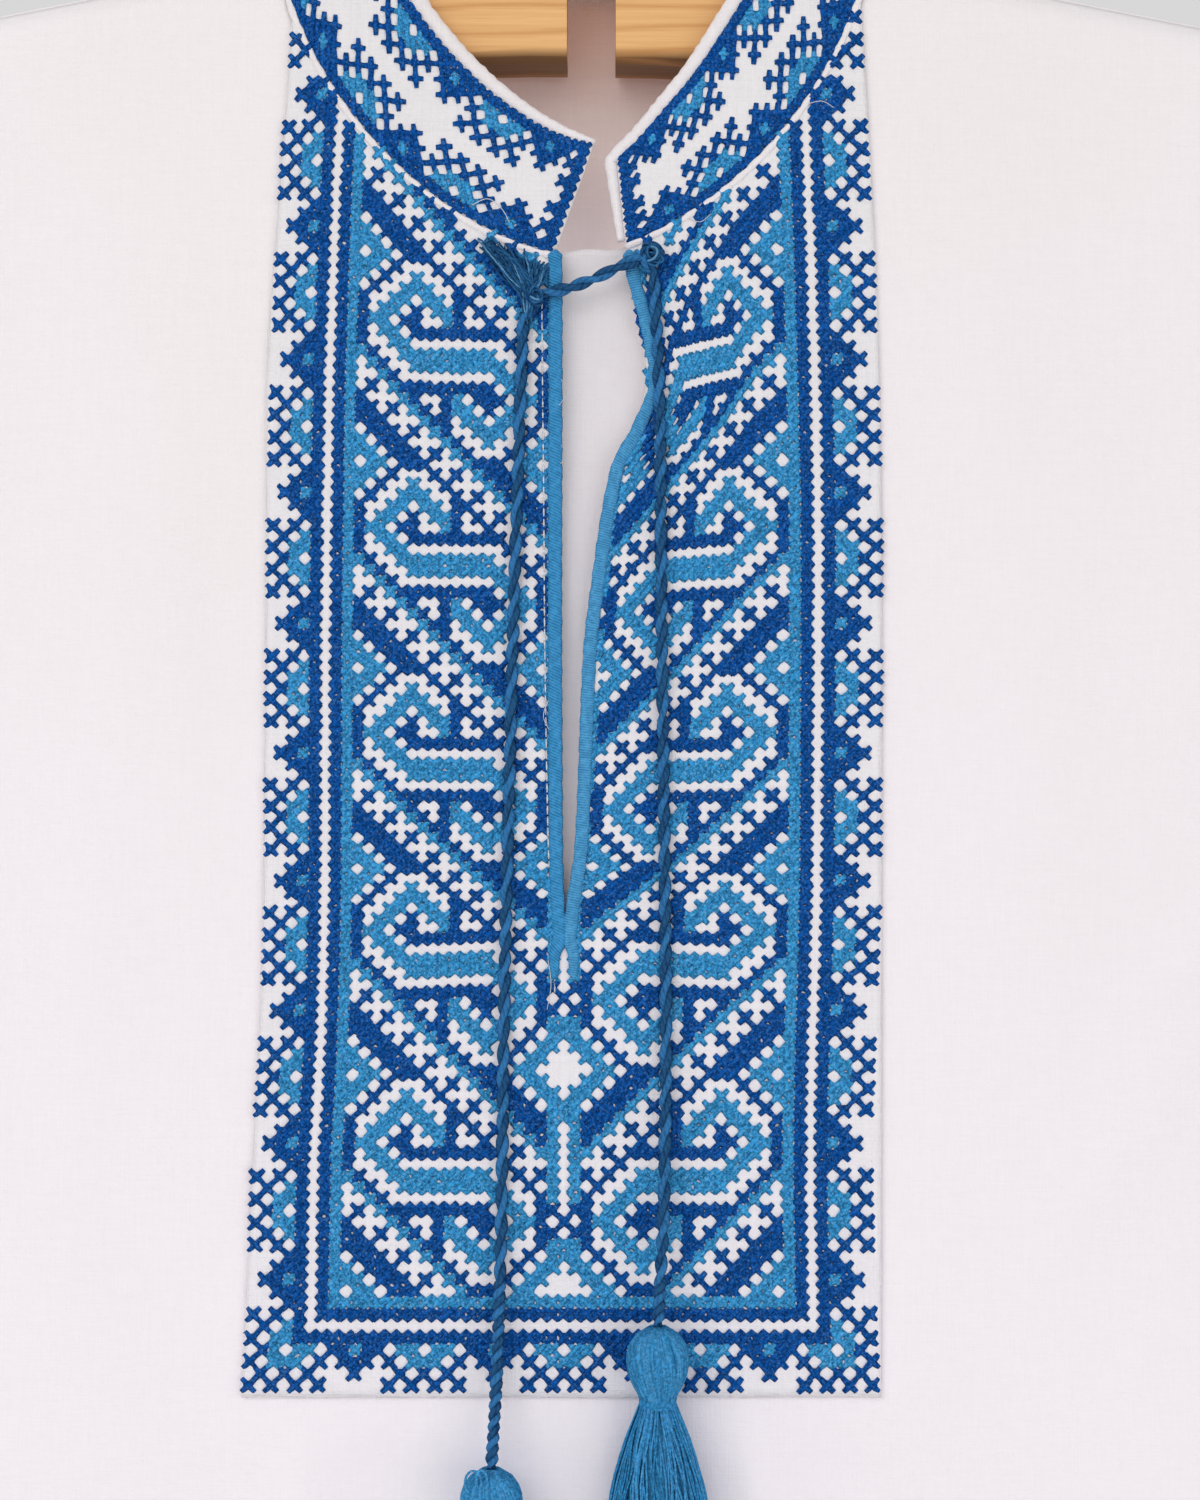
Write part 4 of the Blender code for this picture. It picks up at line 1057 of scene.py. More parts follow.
def steel_paint(name, colour):
    """Drawn wire, a little scratched along its length."""
    paint = Paint(name, 0.28, metallic=1.0)
    drawn = paint.noise(500.0, 4.0, 0.7)
    paint.colour(paint.mix(drawn, darker(colour, 0.8), colour))
    paint.roughness(paint.clear(drawn, 0.3, 0.7, 0.20, 0.38))
    paint.bump(drawn, 0.00002)
    return paint.material


def plain_paint(name, colour, roughness):
    paint = Paint(name, roughness)
    paint.colour(paint.mix(paint.noise(3.0) * 0.3, colour, darker(colour, 0.94)))
    return paint.material


# -------------------------------------------------------------------- the embroidery


def pixel_to_shirt(x, y):
    return ((x - NECK_PIXEL[0]) / PIXELS_PER_METRE, (NECK_PIXEL[1] - y) / PIXELS_PER_METRE)


def on_sight_line(x, z, off):
    """Moves a place of the front plane to where its line of sight meets the cloth."""
    new_x, new_z = x, z
    for _ in range(3):
        share = (CAMERA_DISTANCE + face_y(new_x, new_z, -1, off)) / PLANE_DISTANCE
        new_x = VIEW_CENTRE[0] + (x - VIEW_CENTRE[0]) * share
        new_z = VIEW_CENTRE[1] + (z - VIEW_CENTRE[1]) * share
    return new_x, new_z


def chart_place(column, row, side):
    """x and z of a place on the chart, whole numbers being the middles of its cells."""
    from_centre = column - CENTRE_COLUMN
    y = between(ROW_HEIGHTS, 1, row)
    left = CENTRE_PIXEL + read(LEFT_PITCH, 1, y) * from_centre
    out = read(RIGHT_PITCH, 1, y) * from_centre
    near = np.clip(1 - out / GAPE_REACH, 0.0, 1.0) ** 1.3
    right = CENTRE_PIXEL + out + read(GAPE, 1, y) * near
    top = np.clip(1 - np.maximum(row, -9) / 22, 0.0, 1.3)
    left_down = LEFT_SAG * top * smooth_step(-22.0, -12.0, from_centre)
    right_down = read(GAPE, 2, y) * near
    middle = np.clip(1 - np.abs(from_centre) / CENTRE_COLUMN, 0.0, 1.0)
    y = y - read(CENTRE_RISE, 1, row) * middle
    x, z = pixel_to_shirt(np.where(side < 0, left, right),
                          y + np.where(side < 0, left_down, right_down))
    return on_sight_line(x, z, PANEL_FACE)


def chart_cell(column, row):
    """What the chart asks for at one cell of the panel."""
    outwards = min(column, 2 * CENTRE_COLUMN - column)
    if row in CORNER:
        if outwards < len(CORNER[row]):
            return CORNER[row][outwards]
        return BORDER[outwards % len(BORDER)][LAST_ROW - row]
    if outwards < FRAME_COLUMN or (outwards == FRAME_COLUMN and row < FRAME_ROW):
        return BORDER[(row - BORDER_START_ROW) % len(BORDER)][outwards]
    inwards = min(FRAME_ROW - row, outwards - FRAME_COLUMN)
    if inwards < len(FRAME_LINES):
        return FRAME_LINES[inwards]
    line = FIELD[(row + FIELD_ABOVE) % len(FIELD)]
    return line[outwards - FRAME_COLUMN - len(FRAME_LINES)]


def panel_cells():
    """The panel's stitched cells: column, row and colour, where its cloth is."""
    cells = np.array([(column, row, "Xo".index(chart_cell(column, row)))
                      for row in range(FIRST_ROW, LAST_ROW + 1)
                      for column in range(2 * CENTRE_COLUMN + 1)
                      if chart_cell(column, row) != "."])
    is_left = cells[:, 0] < CENTRE_COLUMN
    x, z = chart_place(cells[:, 0].astype(float), cells[:, 1].astype(float),
                       np.where(is_left, -1, 1))
    in_neck = z >= front_neckline(x) - 0.0004
    beside = np.where(is_left, x < slit_edge(-1, z) + 0.0002, x > slit_edge(1, z) + 0.0006)
    in_slit = (z > SLIT_TIP_Z - 0.001) & ~beside
    return cells[~(in_neck | in_slit)]


def collar_chart(total):
    """The band's stitched cells: the border's points run in from its top and its foot."""
    cells = []
    for column in range(total):
        end = min(column, total - 1 - column)
        line = BORDER[(1 - end) % len(BORDER)]
        marks = line[::-1] + "." * (COLLAR_ROWS - 2 * len(line)) + line
        if end == 0:
            marks = "X" * COLLAR_ROWS
        cells += [(column, row, "Xo".index(mark)) for row, mark in enumerate(marks)
                  if mark != "."]
    return np.array(cells)


def cross_paths(cells, place, rng):
    """Two arched legs for each cell; the second lies over the first."""
    column, row = (cells[:, axis] + rng.normal(0, LEG_STRAY, len(cells)) for axis in (0, 1))
    arch = 1 - LEG_ARCH * LEG_STEPS ** 2
    legs = []
    for number, slope in enumerate((1, -1)):
        ends = rng.normal(0, END_STRAY, (len(cells), 2))
        u = column[:, None] + LEG_REACH * LEG_STEPS + ends[:, :1]
        v = row[:, None] + slope * LEG_REACH * LEG_STEPS + ends[:, 1:]
        rise = arch * (0.6 + 0.55 * number) + 0.06 * rng.random((len(cells), 1))
        legs.append(place(u, v, rise))
    return np.stack(legs, axis=1).reshape(-1, len(LEG_STEPS), 3)


def like_neighbours(cells, share, rng):
    """Pairs of cells of one colour, side by side or one above the other, that meet."""
    known = {(c, r): mark for c, r, mark in cells.tolist()}
    meets = []
    for (c, r), mark in known.items():
        for across, down in ((1, 0), (0, 1)):
            if known.get((c + across, r + down)) == mark and rng.random() < share:
                meets.append((c, r, across, down, mark))
    return np.array(meets)


def stitch_forms(cells, place, pitch, seed):
    """Paths, radii and colours of the cells' crosses, and of the bits where like neighbours
    meet and the pads under the crosses."""
    sizes = bpy.context.scene.shirt_stitches
    rng = np.random.default_rng(seed)
    paths = cross_paths(cells, place, rng)
    half = sizes.leg / 2 * pitch * (1 - LEG_NARROWS * LEG_STEPS ** 2)
    wide = half[None] * rng.normal(1.0, 0.07, (len(paths), 1))
    half = sizes.rise * (1 - LEG_THINS * LEG_STEPS ** 2)
    tall = half[None] * rng.normal(1.0, 0.08, (len(paths), 1))
    meets = like_neighbours(cells, sizes.joined, rng)
    step = np.array((0.20, 0.5, 0.80))
    bits = place(meets[:, :1] + meets[:, 2:3] * step, meets[:, 1:2] + meets[:, 3:4] * step,
                 np.array((0.15, 0.45, 0.15)))
    bit_wide = pitch * 0.24 * rng.normal(1.0, 0.12, (len(bits), 1)) * np.array((0.7, 1.0, 0.7))
    step = np.array((-0.41, 0.0, 0.41))
    pads = place(cells[:, :1] + step, cells[:, 1:2] + 0.0 * step, np.array((0.10, 0.30, 0.10)))
    pad_wide = pitch * 0.40 * rng.normal(1.0, 0.06, (len(pads), 1)) * np.array((0.8, 1.0, 0.8))
    return ((paths, wide, tall, np.repeat(cells[:, 2], 2)),
            (np.concatenate((bits, pads)), np.concatenate((bit_wide, pad_wide)),
             sizes.rise * 0.8, np.concatenate((meets[:, 4], cells[:, 2]))))


def add_stitches(name, cells, place, pitch, seed, paints, facing=None):
    """Two pieces: the crosses and their joins, each facing forward or where facing says."""
    forms = stitch_forms(cells, place, pitch, seed)
    for ending, sides, (paths, wide, tall, colours) in zip(("", "_joins"), (5, 4), forms):
        turned = facing(paths)[:, None] if facing else (0, 1, 0)
        add_tubes(name + ending, paints, paths, wide, slot="dark_thread", tall=tall,
                  sides=sides, slots=colours, facing=turned)


def panel_placer(side):
    """Where a place of the chart lies on the panel, a share of the crosses' rise off it."""
    def place(column, row, lift):
        x, z = chart_place(column, row, side)
        return on_front(x, z, PANEL_FACE + bpy.context.scene.shirt_stitches.rise * lift)
    return place


def make_embroidery():
    sizes = bpy.context.scene.shirt_stitches
    paints = [thread_paint("dark_cross_thread", sizes.dark, 0.75, 0.32),
              thread_paint("light_cross_thread", sizes.light, 0.70, 0.75)]
    cells = panel_cells()
    left = cells[:, 0] < CENTRE_COLUMN
    add_stitches("stitches_left", cells[left], panel_placer(-1), LEFT_CELL, 5, paints)
    add_stitches("stitches_right", cells[~left], panel_placer(1), RIGHT_CELL, 6, paints)

    feet, upward, outward = whole_collar(480)
    marks = np.arange(len(feet))
    repeat = len(BORDER)
    total = repeat * round((path_length(feet) / COLLAR_SPACING - 9) / repeat) + 9
    cells = collar_chart(total)

    def on_collar(column, row, lift):
        share = np.clip((column + 0.85) / (total + 0.70), 0.0, 1.0)
        at = share * (len(feet) - 1)
        up = COLLAR_SEAM + band_height(share) * (1 - (row + 0.62) / (COLLAR_ROWS + 0.25))
        off = COLLAR_WALL + sizes.rise * lift
        return (line_at(feet, at, marks) + line_at(upward, at, marks) * np.asarray(up)[..., None]
                + line_at(outward, at, marks) * np.broadcast_to(off, at.shape)[..., None])
    middles = on_collar(cells[:, 0].astype(float), cells[:, 1].astype(float), 0.0)

    def faced(paths):
        """Each stitch faces outwards from the band at its nearest cell."""
        centres = paths[:, 1:-1].mean(axis=1)
        nearest = np.argmin(((centres[:, None] - middles[None]) ** 2).sum(-1), axis=1)
        at = np.clip((cells[nearest, 0] + 0.5) / total, 0, 1) * (len(outward) - 1)
        return -line_at(outward, at, marks)
    add_stitches("stitches_collar", cells, on_collar, COLLAR_CELL, 7, paints, faced)


# ------------------------------------------------------------------------ the pieces


def hem_step(down):
    """A turned hem stands a little proud of the cloth above it."""
    depth_share = bpy.context.scene.shirt_cloth.hem / (PANEL_LOW_Z - HEM_Z)
    return 0.0005 * smooth_step(2 - depth_share, 2 - depth_share * 0.94, down)


def slit_cloth(name, half, rows, depth, form, off):
    """A cloth parted by the slit. On each side form(side, outwards, down) gives x and z, and
    off(outwards, down) how far it stands off; both run from 0 to the depth."""
    columns = 2 * half + 1
    slit_share = SLIT_TIP_Z / PANEL_LOW_Z / depth

    def place(u, v):
        column = np.round(u * columns)
        is_left = column <= half
        outwards = np.where(is_left, half - column, column - half - 1) / half * depth
        down = (1 - v) * depth
        left, right = form(-1, outwards, down), form(1, outwards, down)
        x, z = np.where(is_left, left[0], right[0]), np.where(is_left, left[1], right[1])
        return stack(x, face_y(x, z, -1, off(outwards, down)), z)

    def keep(u, v):
        in_slit = abs(u * columns - half - 0.5) < 0.5 and (1 - v) < slit_share
        return not in_slit
    mesh = grid_mesh(name, columns, rows, place, keep)
    face_towards(mesh, (0, -1, 0))
    return mesh


def make_front():
    sizes = bpy.context.scene.shirt_cloth
    paint = cloth_paint("front_cotton", sizes.white, sizes.warm)
    mesh = slit_cloth("shirt_front", 78, 132, 2, front_place,
                      lambda outwards, down: hem_step(down))
    piece = walled(finish("shirt_front", mesh, [paint], ["front"]), CLOTH)


def make_back():
    sizes = bpy.context.scene.shirt_cloth
    outer = cloth_paint("back_cotton", sizes.white, sizes.warm)
    # Painted shade and painted light: the back's inner face is a darker beige and glows dim at
    # its top and pale lower down.
    inner = cloth_paint("back_inside_painted_shade", sizes.inside, darker(sizes.inside, 0.95), 0.03,
                        through=((0.095, 0.050, 0.040), (0.32, 0.305, 0.32)))

    def place(u, v):
        down = (1 - v) * 2
        x, z = back_place(2 * u - 1, down)
        return stack(x, face_y(x, z, 1, hem_step(down)), z)
    mesh = grid_mesh("shirt_back", 120, 120, place)
    face_towards(mesh, (0, 1, 0))
    piece = finish("shirt_back", mesh, [outer, inner], ["back"])
    walled(piece, CLOTH, 1)


def make_sleeves():
    sizes = bpy.context.scene.shirt_cloth
    paint = cloth_paint("sleeve_cotton", sizes.white, sizes.warm)
    for name, side in SIDES:
        def place(u, v, side=side):
            return sleeve_place(side, u, v, 0.0006 * smooth_step(0.955, 0.960, v))
        mesh = grid_mesh("shirt_sleeve_" + name, 76, 92, place, wrap=True)
        face_towards(mesh, (0, 0, 0), (0, 1, 0))
        piece = finish("shirt_sleeve_" + name, mesh, [paint], ["sleeve_" + name])
        walled(piece, CLOTH)


def make_panel():
    sizes = bpy.context.scene.shirt_cloth
    paint = cloth_paint("panel_cotton", sizes.panel, darker(sizes.panel, 0.97), 0.045, 0.00012)

    def form(side, outwards, down):
        column = 1 if side < 0 else 2
        return panel_place(side, outwards, down, lambda z: read(PANEL_EDGE, column, z))

    def off(outwards, down):
        return PANEL_FACE + 0.0002 * smooth_step(0.955, 0.975, outwards)
    mesh = slit_cloth("chest_panel", 44, 116, 1, form, off)
    piece = walled(finish("chest_panel", mesh, [paint], ["plastron"]), 0.0009)


def make_underlay():
    sizes = bpy.context.scene.shirt_cloth
    # Painted shade: the underlay is the shirt's white made darker, for the shade behind the slit.
    paint = cloth_paint("underlay_cotton", darker(sizes.white, 0.90), darker(sizes.white, 0.86))

    def place(u, v):
        x = blend(*UNDERLAY_SIDES, u)
        top = UNDERLAY_TOP_Z + 0.0004 * np.sin(x * 420) + 0.35 * front_neckline(x)
        z = blend(UNDERLAY_FOOT_Z, top, v)
        fold = creases(x, z, UNDERLAY_FOLDS)
        roll = 0.0005 * smooth_step(0.985, 1.0, v)
        return stack(x, face_y(x, z, -1, -CLOTH - 0.0012) - fold + 0.0010 - roll, z)
    mesh = grid_mesh("slit_lining", 40, 120, place)
    face_towards(mesh, (0, -1, 0))
    piece = finish("slit_lining", mesh, [paint], ["slit_underlay"])
    walled(piece, 0.0008)


def make_collar():
    sizes = bpy.context.scene.shirt_cloth
    paint = cloth_paint("collar_cotton", sizes.panel, darker(sizes.panel, 0.97), 0.045, 0.00012)
    columns = 240
    feet, upward, outward = whole_collar(columns)

    def place(u, v):
        column = np.clip(np.round(u * columns).astype(int), 0, columns)
        rise = COLLAR_SEAM + band_height(u) * v
        return feet[column] + upward[column] * rise[:, None] + outward[column] * COLLAR_WALL
    mesh = grid_mesh("collar_band", columns, 12, place)
    face_towards(mesh, (0.005, 0, 0), (1, 1, 0))
    piece = walled(finish("collar_band", mesh, [paint], ["collar"]), 0.0016)
    round(path_length(feet), 3)
    return feet, upward, outward


def make_collar_edges(feet, upward, outward):
    """The rolled white edge, thick at the back and thin at the left corner, and the seam."""
    sizes = bpy.context.scene.shirt_cloth
    paint = cloth_paint("edge_cotton", sizes.white, sizes.warm, 0.05, 0.00012)
    rng = np.random.default_rng(3)
    count = len(feet)
    along = np.linspace(0.0, 1.0, count)
    thick = read(ROLL_THICK, 1, along)
    bumps = 1 + 0.08 * np.sin(along * length_turns(feet, 0.0043)) + rng.normal(0, 0.03, count)
    line = feet + upward * (COLLAR_SEAM + band_height(along) + thick * 0.90)[:, None]
    beside = unit(np.array((-1.0, 0.0, 0.12)))
    shares = np.linspace(0.97, 0.04, 30)
    taper = 0.55 + 0.45 * shares
    end = (feet[-1] + upward[-1] * (COLLAR_SEAM + band_height(1.0) * shares)[:, None]
           + beside * (0.0004 + 0.0014 * taper)[:, None])
    line = np.concatenate((line[:-1], end))
    radius = np.concatenate(((thick * bumps)[:-1],
                             0.0018 * taper * (1 + 0.07 * np.sin(shares * 30))))
    facing = np.concatenate((-outward[:-1], np.repeat(-outward[-1:], len(end), axis=0)))
    add_tubes("collar_roll", [paint], [line], radius, ["collar_piping"], tall=radius * 0.95,
              sides=12, facing=facing)
    seam = feet + outward * 0.0012 + upward * 0.0002
    seam[:, 2] -= 0.0002
    rough = 0.18 * np.sin(along * length_turns(feet, 0.006)) + rng.normal(0, 0.03, count)
    width = 0.0010 * (1 + rough)
    add_tubes("collar_seam", [paint], [seam], width, tall=width * 0.55, facing=-outward)


def length_turns(feet, spacing):
    return 2 * math.pi * path_length(feet) / spacing


def make_bindings():
    """Satin-bound edges of the slit, which meet under its tip."""
    colour = bpy.context.scene.shirt_tassels.colour
    # One satin on both edges of the slit: the left copy is a little darker as painted shade and
    # the right copy paler as painted light.
    shaded_satin = satin_paint("binding_left_satin", darker(colour, 0.92), 0.00085, 0.9)
    pale = satin_paint("binding_right_satin", blend_colour(colour, SPECK, 0.10), 0.00070, 0.2)
    heights = np.linspace(250, 980, 300)
    taper = 0.55 + 0.45 * smooth_step(990, 930, heights)
    ends = blunt(len(heights), 3)
    for name, half, line, paint in (("left", 0.0020, LEFT_SATIN, shaded_satin),
                                    ("right", 0.0019, RIGHT_SATIN, pale)):
        x, z = pixel_to_shirt(read(line, 1, heights), heights)
        x, z = on_sight_line(x, z, PANEL_FACE)
        width = half * taper * (1 + 0.05 * np.sin(z * 900) + 0.03 * np.sin(z * 2300))
        add_tubes("slit_satin_" + name, [paint], [on_front(x, z, PANEL_FACE + 0.00050)],
                  width * ends, ["slit_binding_" + name], "light_thread",
                  tall=0.00085 * ends, sides=14)


def lifted_tail(marks):
    """A tail's marks off the cloth, from which it comes to the middle of its tassel."""
    marks = np.array(marks)
    lifts = np.full(len(marks), CORD_LIFT)
    lifts[-2:] = blend(CORD_LIFT, TASSEL_LIFT, 0.4), TASSEL_LIFT
    return on_front(marks[:, 0], marks[:, 1], lifts)


def twisted(name, path, tight):
    """Two plies wound round each other along a path, closer over its last, tight, length."""
    sizes = bpy.context.scene.shirt_cords
    length = path_length(path)
    fine = even(path, int(length / 0.00068))
    tangent = unit(np.gradient(fine, axis=0))
    first = unit(np.cross(np.array((0.0, 1.0, 0.0)), tangent))
    second = np.cross(tangent, first)
    along = np.linspace(0, length, len(fine))
    wander = 0.5 * np.sin(along * 140) + 0.35 * np.sin(along * 61 + 1)
    closer = 1 / sizes.tight_lay - 1 / sizes.lay
    wander = wander + 2 * math.pi * closer * np.maximum(0.0, along - length + tight)
    plies = []
    for start in (0.0, math.pi):
        turn = (2 * math.pi * along / sizes.lay + start + wander)[:, None]
        plies.append(fine + sizes.thick * 0.235 * (np.cos(turn) * first + np.sin(turn) * second))
    radius = sizes.thick * 0.275 * (1 + 0.06 * np.sin(along * 300)) * blunt(len(fine), 4)
    return tubes(name, plies, radius, slots=(0, 1))


def make_cords():
    sizes = bpy.context.scene.shirt_cords
    paints = [yarn_paint("cord_dark_ply", darker(sizes.dark, 0.7), darker(sizes.light, 0.5)),
              yarn_paint("cord_light_ply", darker(sizes.light, 0.45), sizes.light)]
    left = smooth_line(lifted_tail(LEFT_TAIL), 38)
    bridge = on_front(*np.array(BRIDGE).T, BRIDGE_LIFT)
    bridge[:, 1] = bridge[:, 1].min()
    corner = bridge[-1] + np.array((0.0032, -0.0004, 0.0004))
    right = smooth_line(np.concatenate((bridge, corner[None], lifted_tail(RIGHT_TAIL))), 44)
    made = {}
    for name, path, tight, nodes in (("left", left, 0.050, ["cord_left"]),
                                     ("right", right, 0.012, ["cord_right", "cord_bridge"])):
        mesh = twisted("cord_twist_" + name, path, tight)
        made[name] = finish("cord_twist_" + name, mesh, paints, nodes), path
    return made


def fray(rng):
    """One strand of the fan: it starts in the cord, goes through the throat and spreads."""
    share = rng.random()
    start = np.array((-0.0132, -0.0182)) + rng.normal(0, 0.0006, 2)
    throat = np.array((-0.0120, -0.0118)) + rng.normal(0, 0.0010, 2)
    far = np.array((blend(-0.0262, -0.0066, share), blend(0.0044, -0.0034, share)))
    far = far + rng.normal(0, 0.0010, 2)
    middle = (throat + far) / 2 + rng.normal(0, 0.0011, 2)
    off = np.array((0.0034, 0.0042, 0.0036, 0.0020)) + rng.normal(0, 0.0004, 4)
    return smooth_line(on_front(*np.stack((start, throat, middle, far), axis=1), off), 12)


def knot_loops(centre, wide, tall, count, rng):
    """Slanting loops of ply round a knot's centre."""
    turn = np.linspace(0, 2 * math.pi, 33)
    loops = []
    for number in range(count):
        a = wide * rng.uniform(0.5, 1.15) * np.cos(turn)
        b = tall * rng.uniform(0.4, 1.15) * np.sin(turn)
        slant, lean = rng.random() * 3.1, rng.normal(0, 0.0010)
        middle = centre + rng.normal(0, 0.0005, 3)
        loops.append(middle + stack(a * math.cos(slant) - b * math.sin(slant),
                                    lean * np.sin(turn + number),
                                    a * math.sin(slant) + b * math.cos(slant)))
    return loops


def make_knots():
    """At the left the cord comes out of a fan of frayed plies; at the right a small knot."""
    sizes = bpy.context.scene.shirt_cords
    paints = [yarn_paint("knot_dark_ply", sizes.dark, darker(sizes.light, 0.7)),
              yarn_paint("knot_light_ply", darker(sizes.light, 0.75), sizes.light),
              yarn_paint("frayed_pale_ply", (0.05, 0.22, 0.50), (0.16, 0.42, 0.70))]
    rng = np.random.default_rng(11)
    strands, loops = 120, 26
    add_tubes("frayed_strands", paints, [fray(rng) for _ in range(strands)], 0.00026,
              ["cord_knot_left"], "dark_thread", sides=5,
              slots=rng.choice(3, strands, p=(0.45, 0.42, 0.13)))
    for name, x, z, wide, tall, nodes in (
            ("left", -0.0112, -0.0112, 0.0020, 0.0016, ()),
            ("right", 0.0220, 0.0002, 0.0024, 0.0028, ["cord_knot_right"])):
        paths = knot_loops(on_front(x, z, BRIDGE_LIFT), wide, tall, loops, rng)
        add_tubes("knot_" + name, paints, paths, 0.00036, nodes, "dark_thread", sides=6,
                  slots=rng.choice(3, loops, p=(0.6, 0.35, 0.05)))


def hanging(rng, top, drops, spread, turn_by, wild):
    """Threads that hang within the tassel's form, a share of it out and turned a little."""
    count = len(drops)
    angle = rng.random(count)[:, None] * 2 * math.pi + turn_by * drops / 0.02
    wave = drops * rng.normal(160, 40, (count, 1)) + rng.random((count, 1)) * 6
    angle = angle + wild * np.sin(wave)
    layer = spread[0] + (spread[1] - spread[0]) * np.sqrt(rng.random((count, 1)))
    reach = read(TASSEL_FORM, 1, drops) * layer
    return top + stack(reach * np.cos(angle), reach * np.sin(angle) * 0.88, -drops)


def make_tassel(name, top, seed):
    """A head of tight threads, a wound neck and a skirt of loose ones."""
    sizes = bpy.context.scene.shirt_tassels
    paints = [thread_paint("tassel_thread_" + name, darker(sizes.colour, 0.92), 0.60, 0.28),
              thread_paint("tassel_thread_pale_" + name,
                           blend_colour(sizes.colour, SPECK, 0.08), 0.50, 0.45)]
    rng = np.random.default_rng(seed)
    drops = np.broadcast_to(np.linspace(0.0002, 0.0205, 10), (260, 10))
    head = hanging(rng, top, drops, (0.92, 1.02), 0.35, 0.07)
    made = [add_tubes("tassel_head_" + name, paints, head, 0.00052, ["tassel_" + name],
                      "light_thread", sides=4, slots=rng.integers(0, 2, len(head)))]
    ends = 0.0670 + rng.normal(0, 0.0016, (sizes.threads, 1))
    length = np.minimum(ends, TASSEL_END) - TASSEL_WAIST
    skirt = hanging(rng, top, TASSEL_WAIST + length * np.linspace(0, 1, 11) ** 0.9,
                    (0.25, 1.0), 0.10, 0.10)
    made.append(add_tubes("tassel_skirt_" + name, paints, skirt, sizes.thread, (),
                          "light_thread", sides=4, slots=rng.integers(0, 2, len(skirt))))
    turn = np.linspace(0, 4 * 2 * math.pi, 140)
    wind = top + stack(0.0048 * np.cos(turn), 0.0044 * np.sin(turn),
                       -0.0198 - 0.0018 * turn / turn[-1])
    made.append(add_tubes("tassel_winding_" + name, paints[:1], [wind], 0.00034, (),
                          "light_thread", sides=6, facing=(0, 0, 1)))
    # Painted shade: the core within the tassel is its own thread made much darker.
    deep = thread_paint("tassel_core_shaded_thread_" + name, darker(sizes.colour, 0.55), 0.5, 0.1)
    drops = np.linspace(*TASSEL_CORE, 30)
    made.append(add_tubes("tassel_core_" + name, [deep], [top + stack(0.0, 0.0, -drops)],
                          read(TASSEL_FORM, 1, drops) * 0.80, (), "light_thread", sides=16))
    if name == "left":
        turn = np.linspace(0.3, 2 * math.pi - 0.3, 24)
        loops = [top + np.array((x, -0.0050, z))
                 + stack(wide * np.sin(turn), 0.0006 * np.cos(turn), -tall * np.cos(turn))
                 for x, z, wide, tall in ((-0.0046, -0.0024, 0.0022, 0.0034),
                                          (-0.0024, -0.0016, 0.0014, 0.0028))]
        made.append(add_tubes("tassel_loops_" + name, paints[1:], loops, 0.00036, (),
                              "light_thread", sides=6))
    return made


def declare_cords(made, tassels):
    for name, (piece, path) in made.items():
        world = path + NECK_POINT
        tuple(world[0])
        path_length(path)
        [tuple(point) for point in world]
        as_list(tassels[name])


def make_seams():
    """Machine stitches beside the left binding, round the panel and along the hems, and the
    ridges of the side, shoulder and armhole seams."""
    sizes = bpy.context.scene.shirt_cloth
    cloth = cloth_paint("seam_cotton", sizes.white, sizes.warm, 0.05)
    thread = thread_paint("white_sewing_thread", (0.83, 0.84, 0.88), 0.15, 0.1)
    z = np.linspace(-0.012, -0.207, 200)
    x = slit_edge(-1, np.maximum(z, -0.187)) - 0.0034 + 0.0006 * smooth_step(-0.10, -0.187, z)
    slit = [dashes(on_front(x, z, PANEL_FACE + 0.0006))]
    z = np.linspace(0.060, -0.317, 260)
    edges = [dashes(on_front(read(PANEL_EDGE, column, z) + inset, z, PANEL_FACE + 0.0001),
                    0.0022, 0.0006) for column, inset in ((1, 0.0011), (2, -0.0011))]
    hem_z = HEM_Z + sizes.hem
    x = np.linspace(-0.270, 0.270, 500) / 0.270 * (side_edge(hem_z) - 0.001)
    z = np.full_like(x, hem_z)
    hems = [dashes(stack(x, face_y(x, z, face, 0.0004), z)) for face in (-1, 1)]
    around = np.linspace(0, 1, 240)
    cuffs = [dashes(sleeve_place(side, around, np.full_like(around, 0.957), 0.0004))
             for _, side in SIDES]
    for name, paths, radius in (("slit_stitches", slit, 0.00028),
                                ("panel_edge_stitches", edges, 0.00013),
                                ("hem_stitches", hems, 0.00018),
                                ("cuff_stitches", cuffs, 0.00018)):
        add_tubes(name, [thread], np.concatenate(paths), np.array((0.6, 1.0, 0.6)) * radius,
                  sides=5)
    side_z = np.linspace(UNDERARM_Z, HEM_Z, 200)
    x = np.linspace(NECK_HALF + 0.0005, SHOULDER_TIP_X, 120)
    turn = np.linspace(0, 2 * math.pi, 140)
    middle, half = (SHOULDER_TIP_Z + UNDERARM_Z) / 2, (SHOULDER_TIP_Z - UNDERARM_Z) / 2
    z = middle + half * np.cos(turn)
    for end, side in SIDES:
        for name, line, radius, facing in (
                ("side_seam_", (side * (side_edge(side_z) - 0.0001), 0.0, side_z), 0.0010,
                 (0, 1, 0)),
                ("shoulder_seam_", (side * x, 0.0, ridge_height(x) - 0.0006), 0.0011, (0, 1, 0)),
                ("armhole_seam_", (side * (side_edge(z) + 0.0006), -ARMHOLE_DEPTH * np.sin(turn),
                                   z), 0.0012, (1, 0, 0))):
            add_tubes(name + end, [cloth], [stack(*line)], radius, facing=facing)


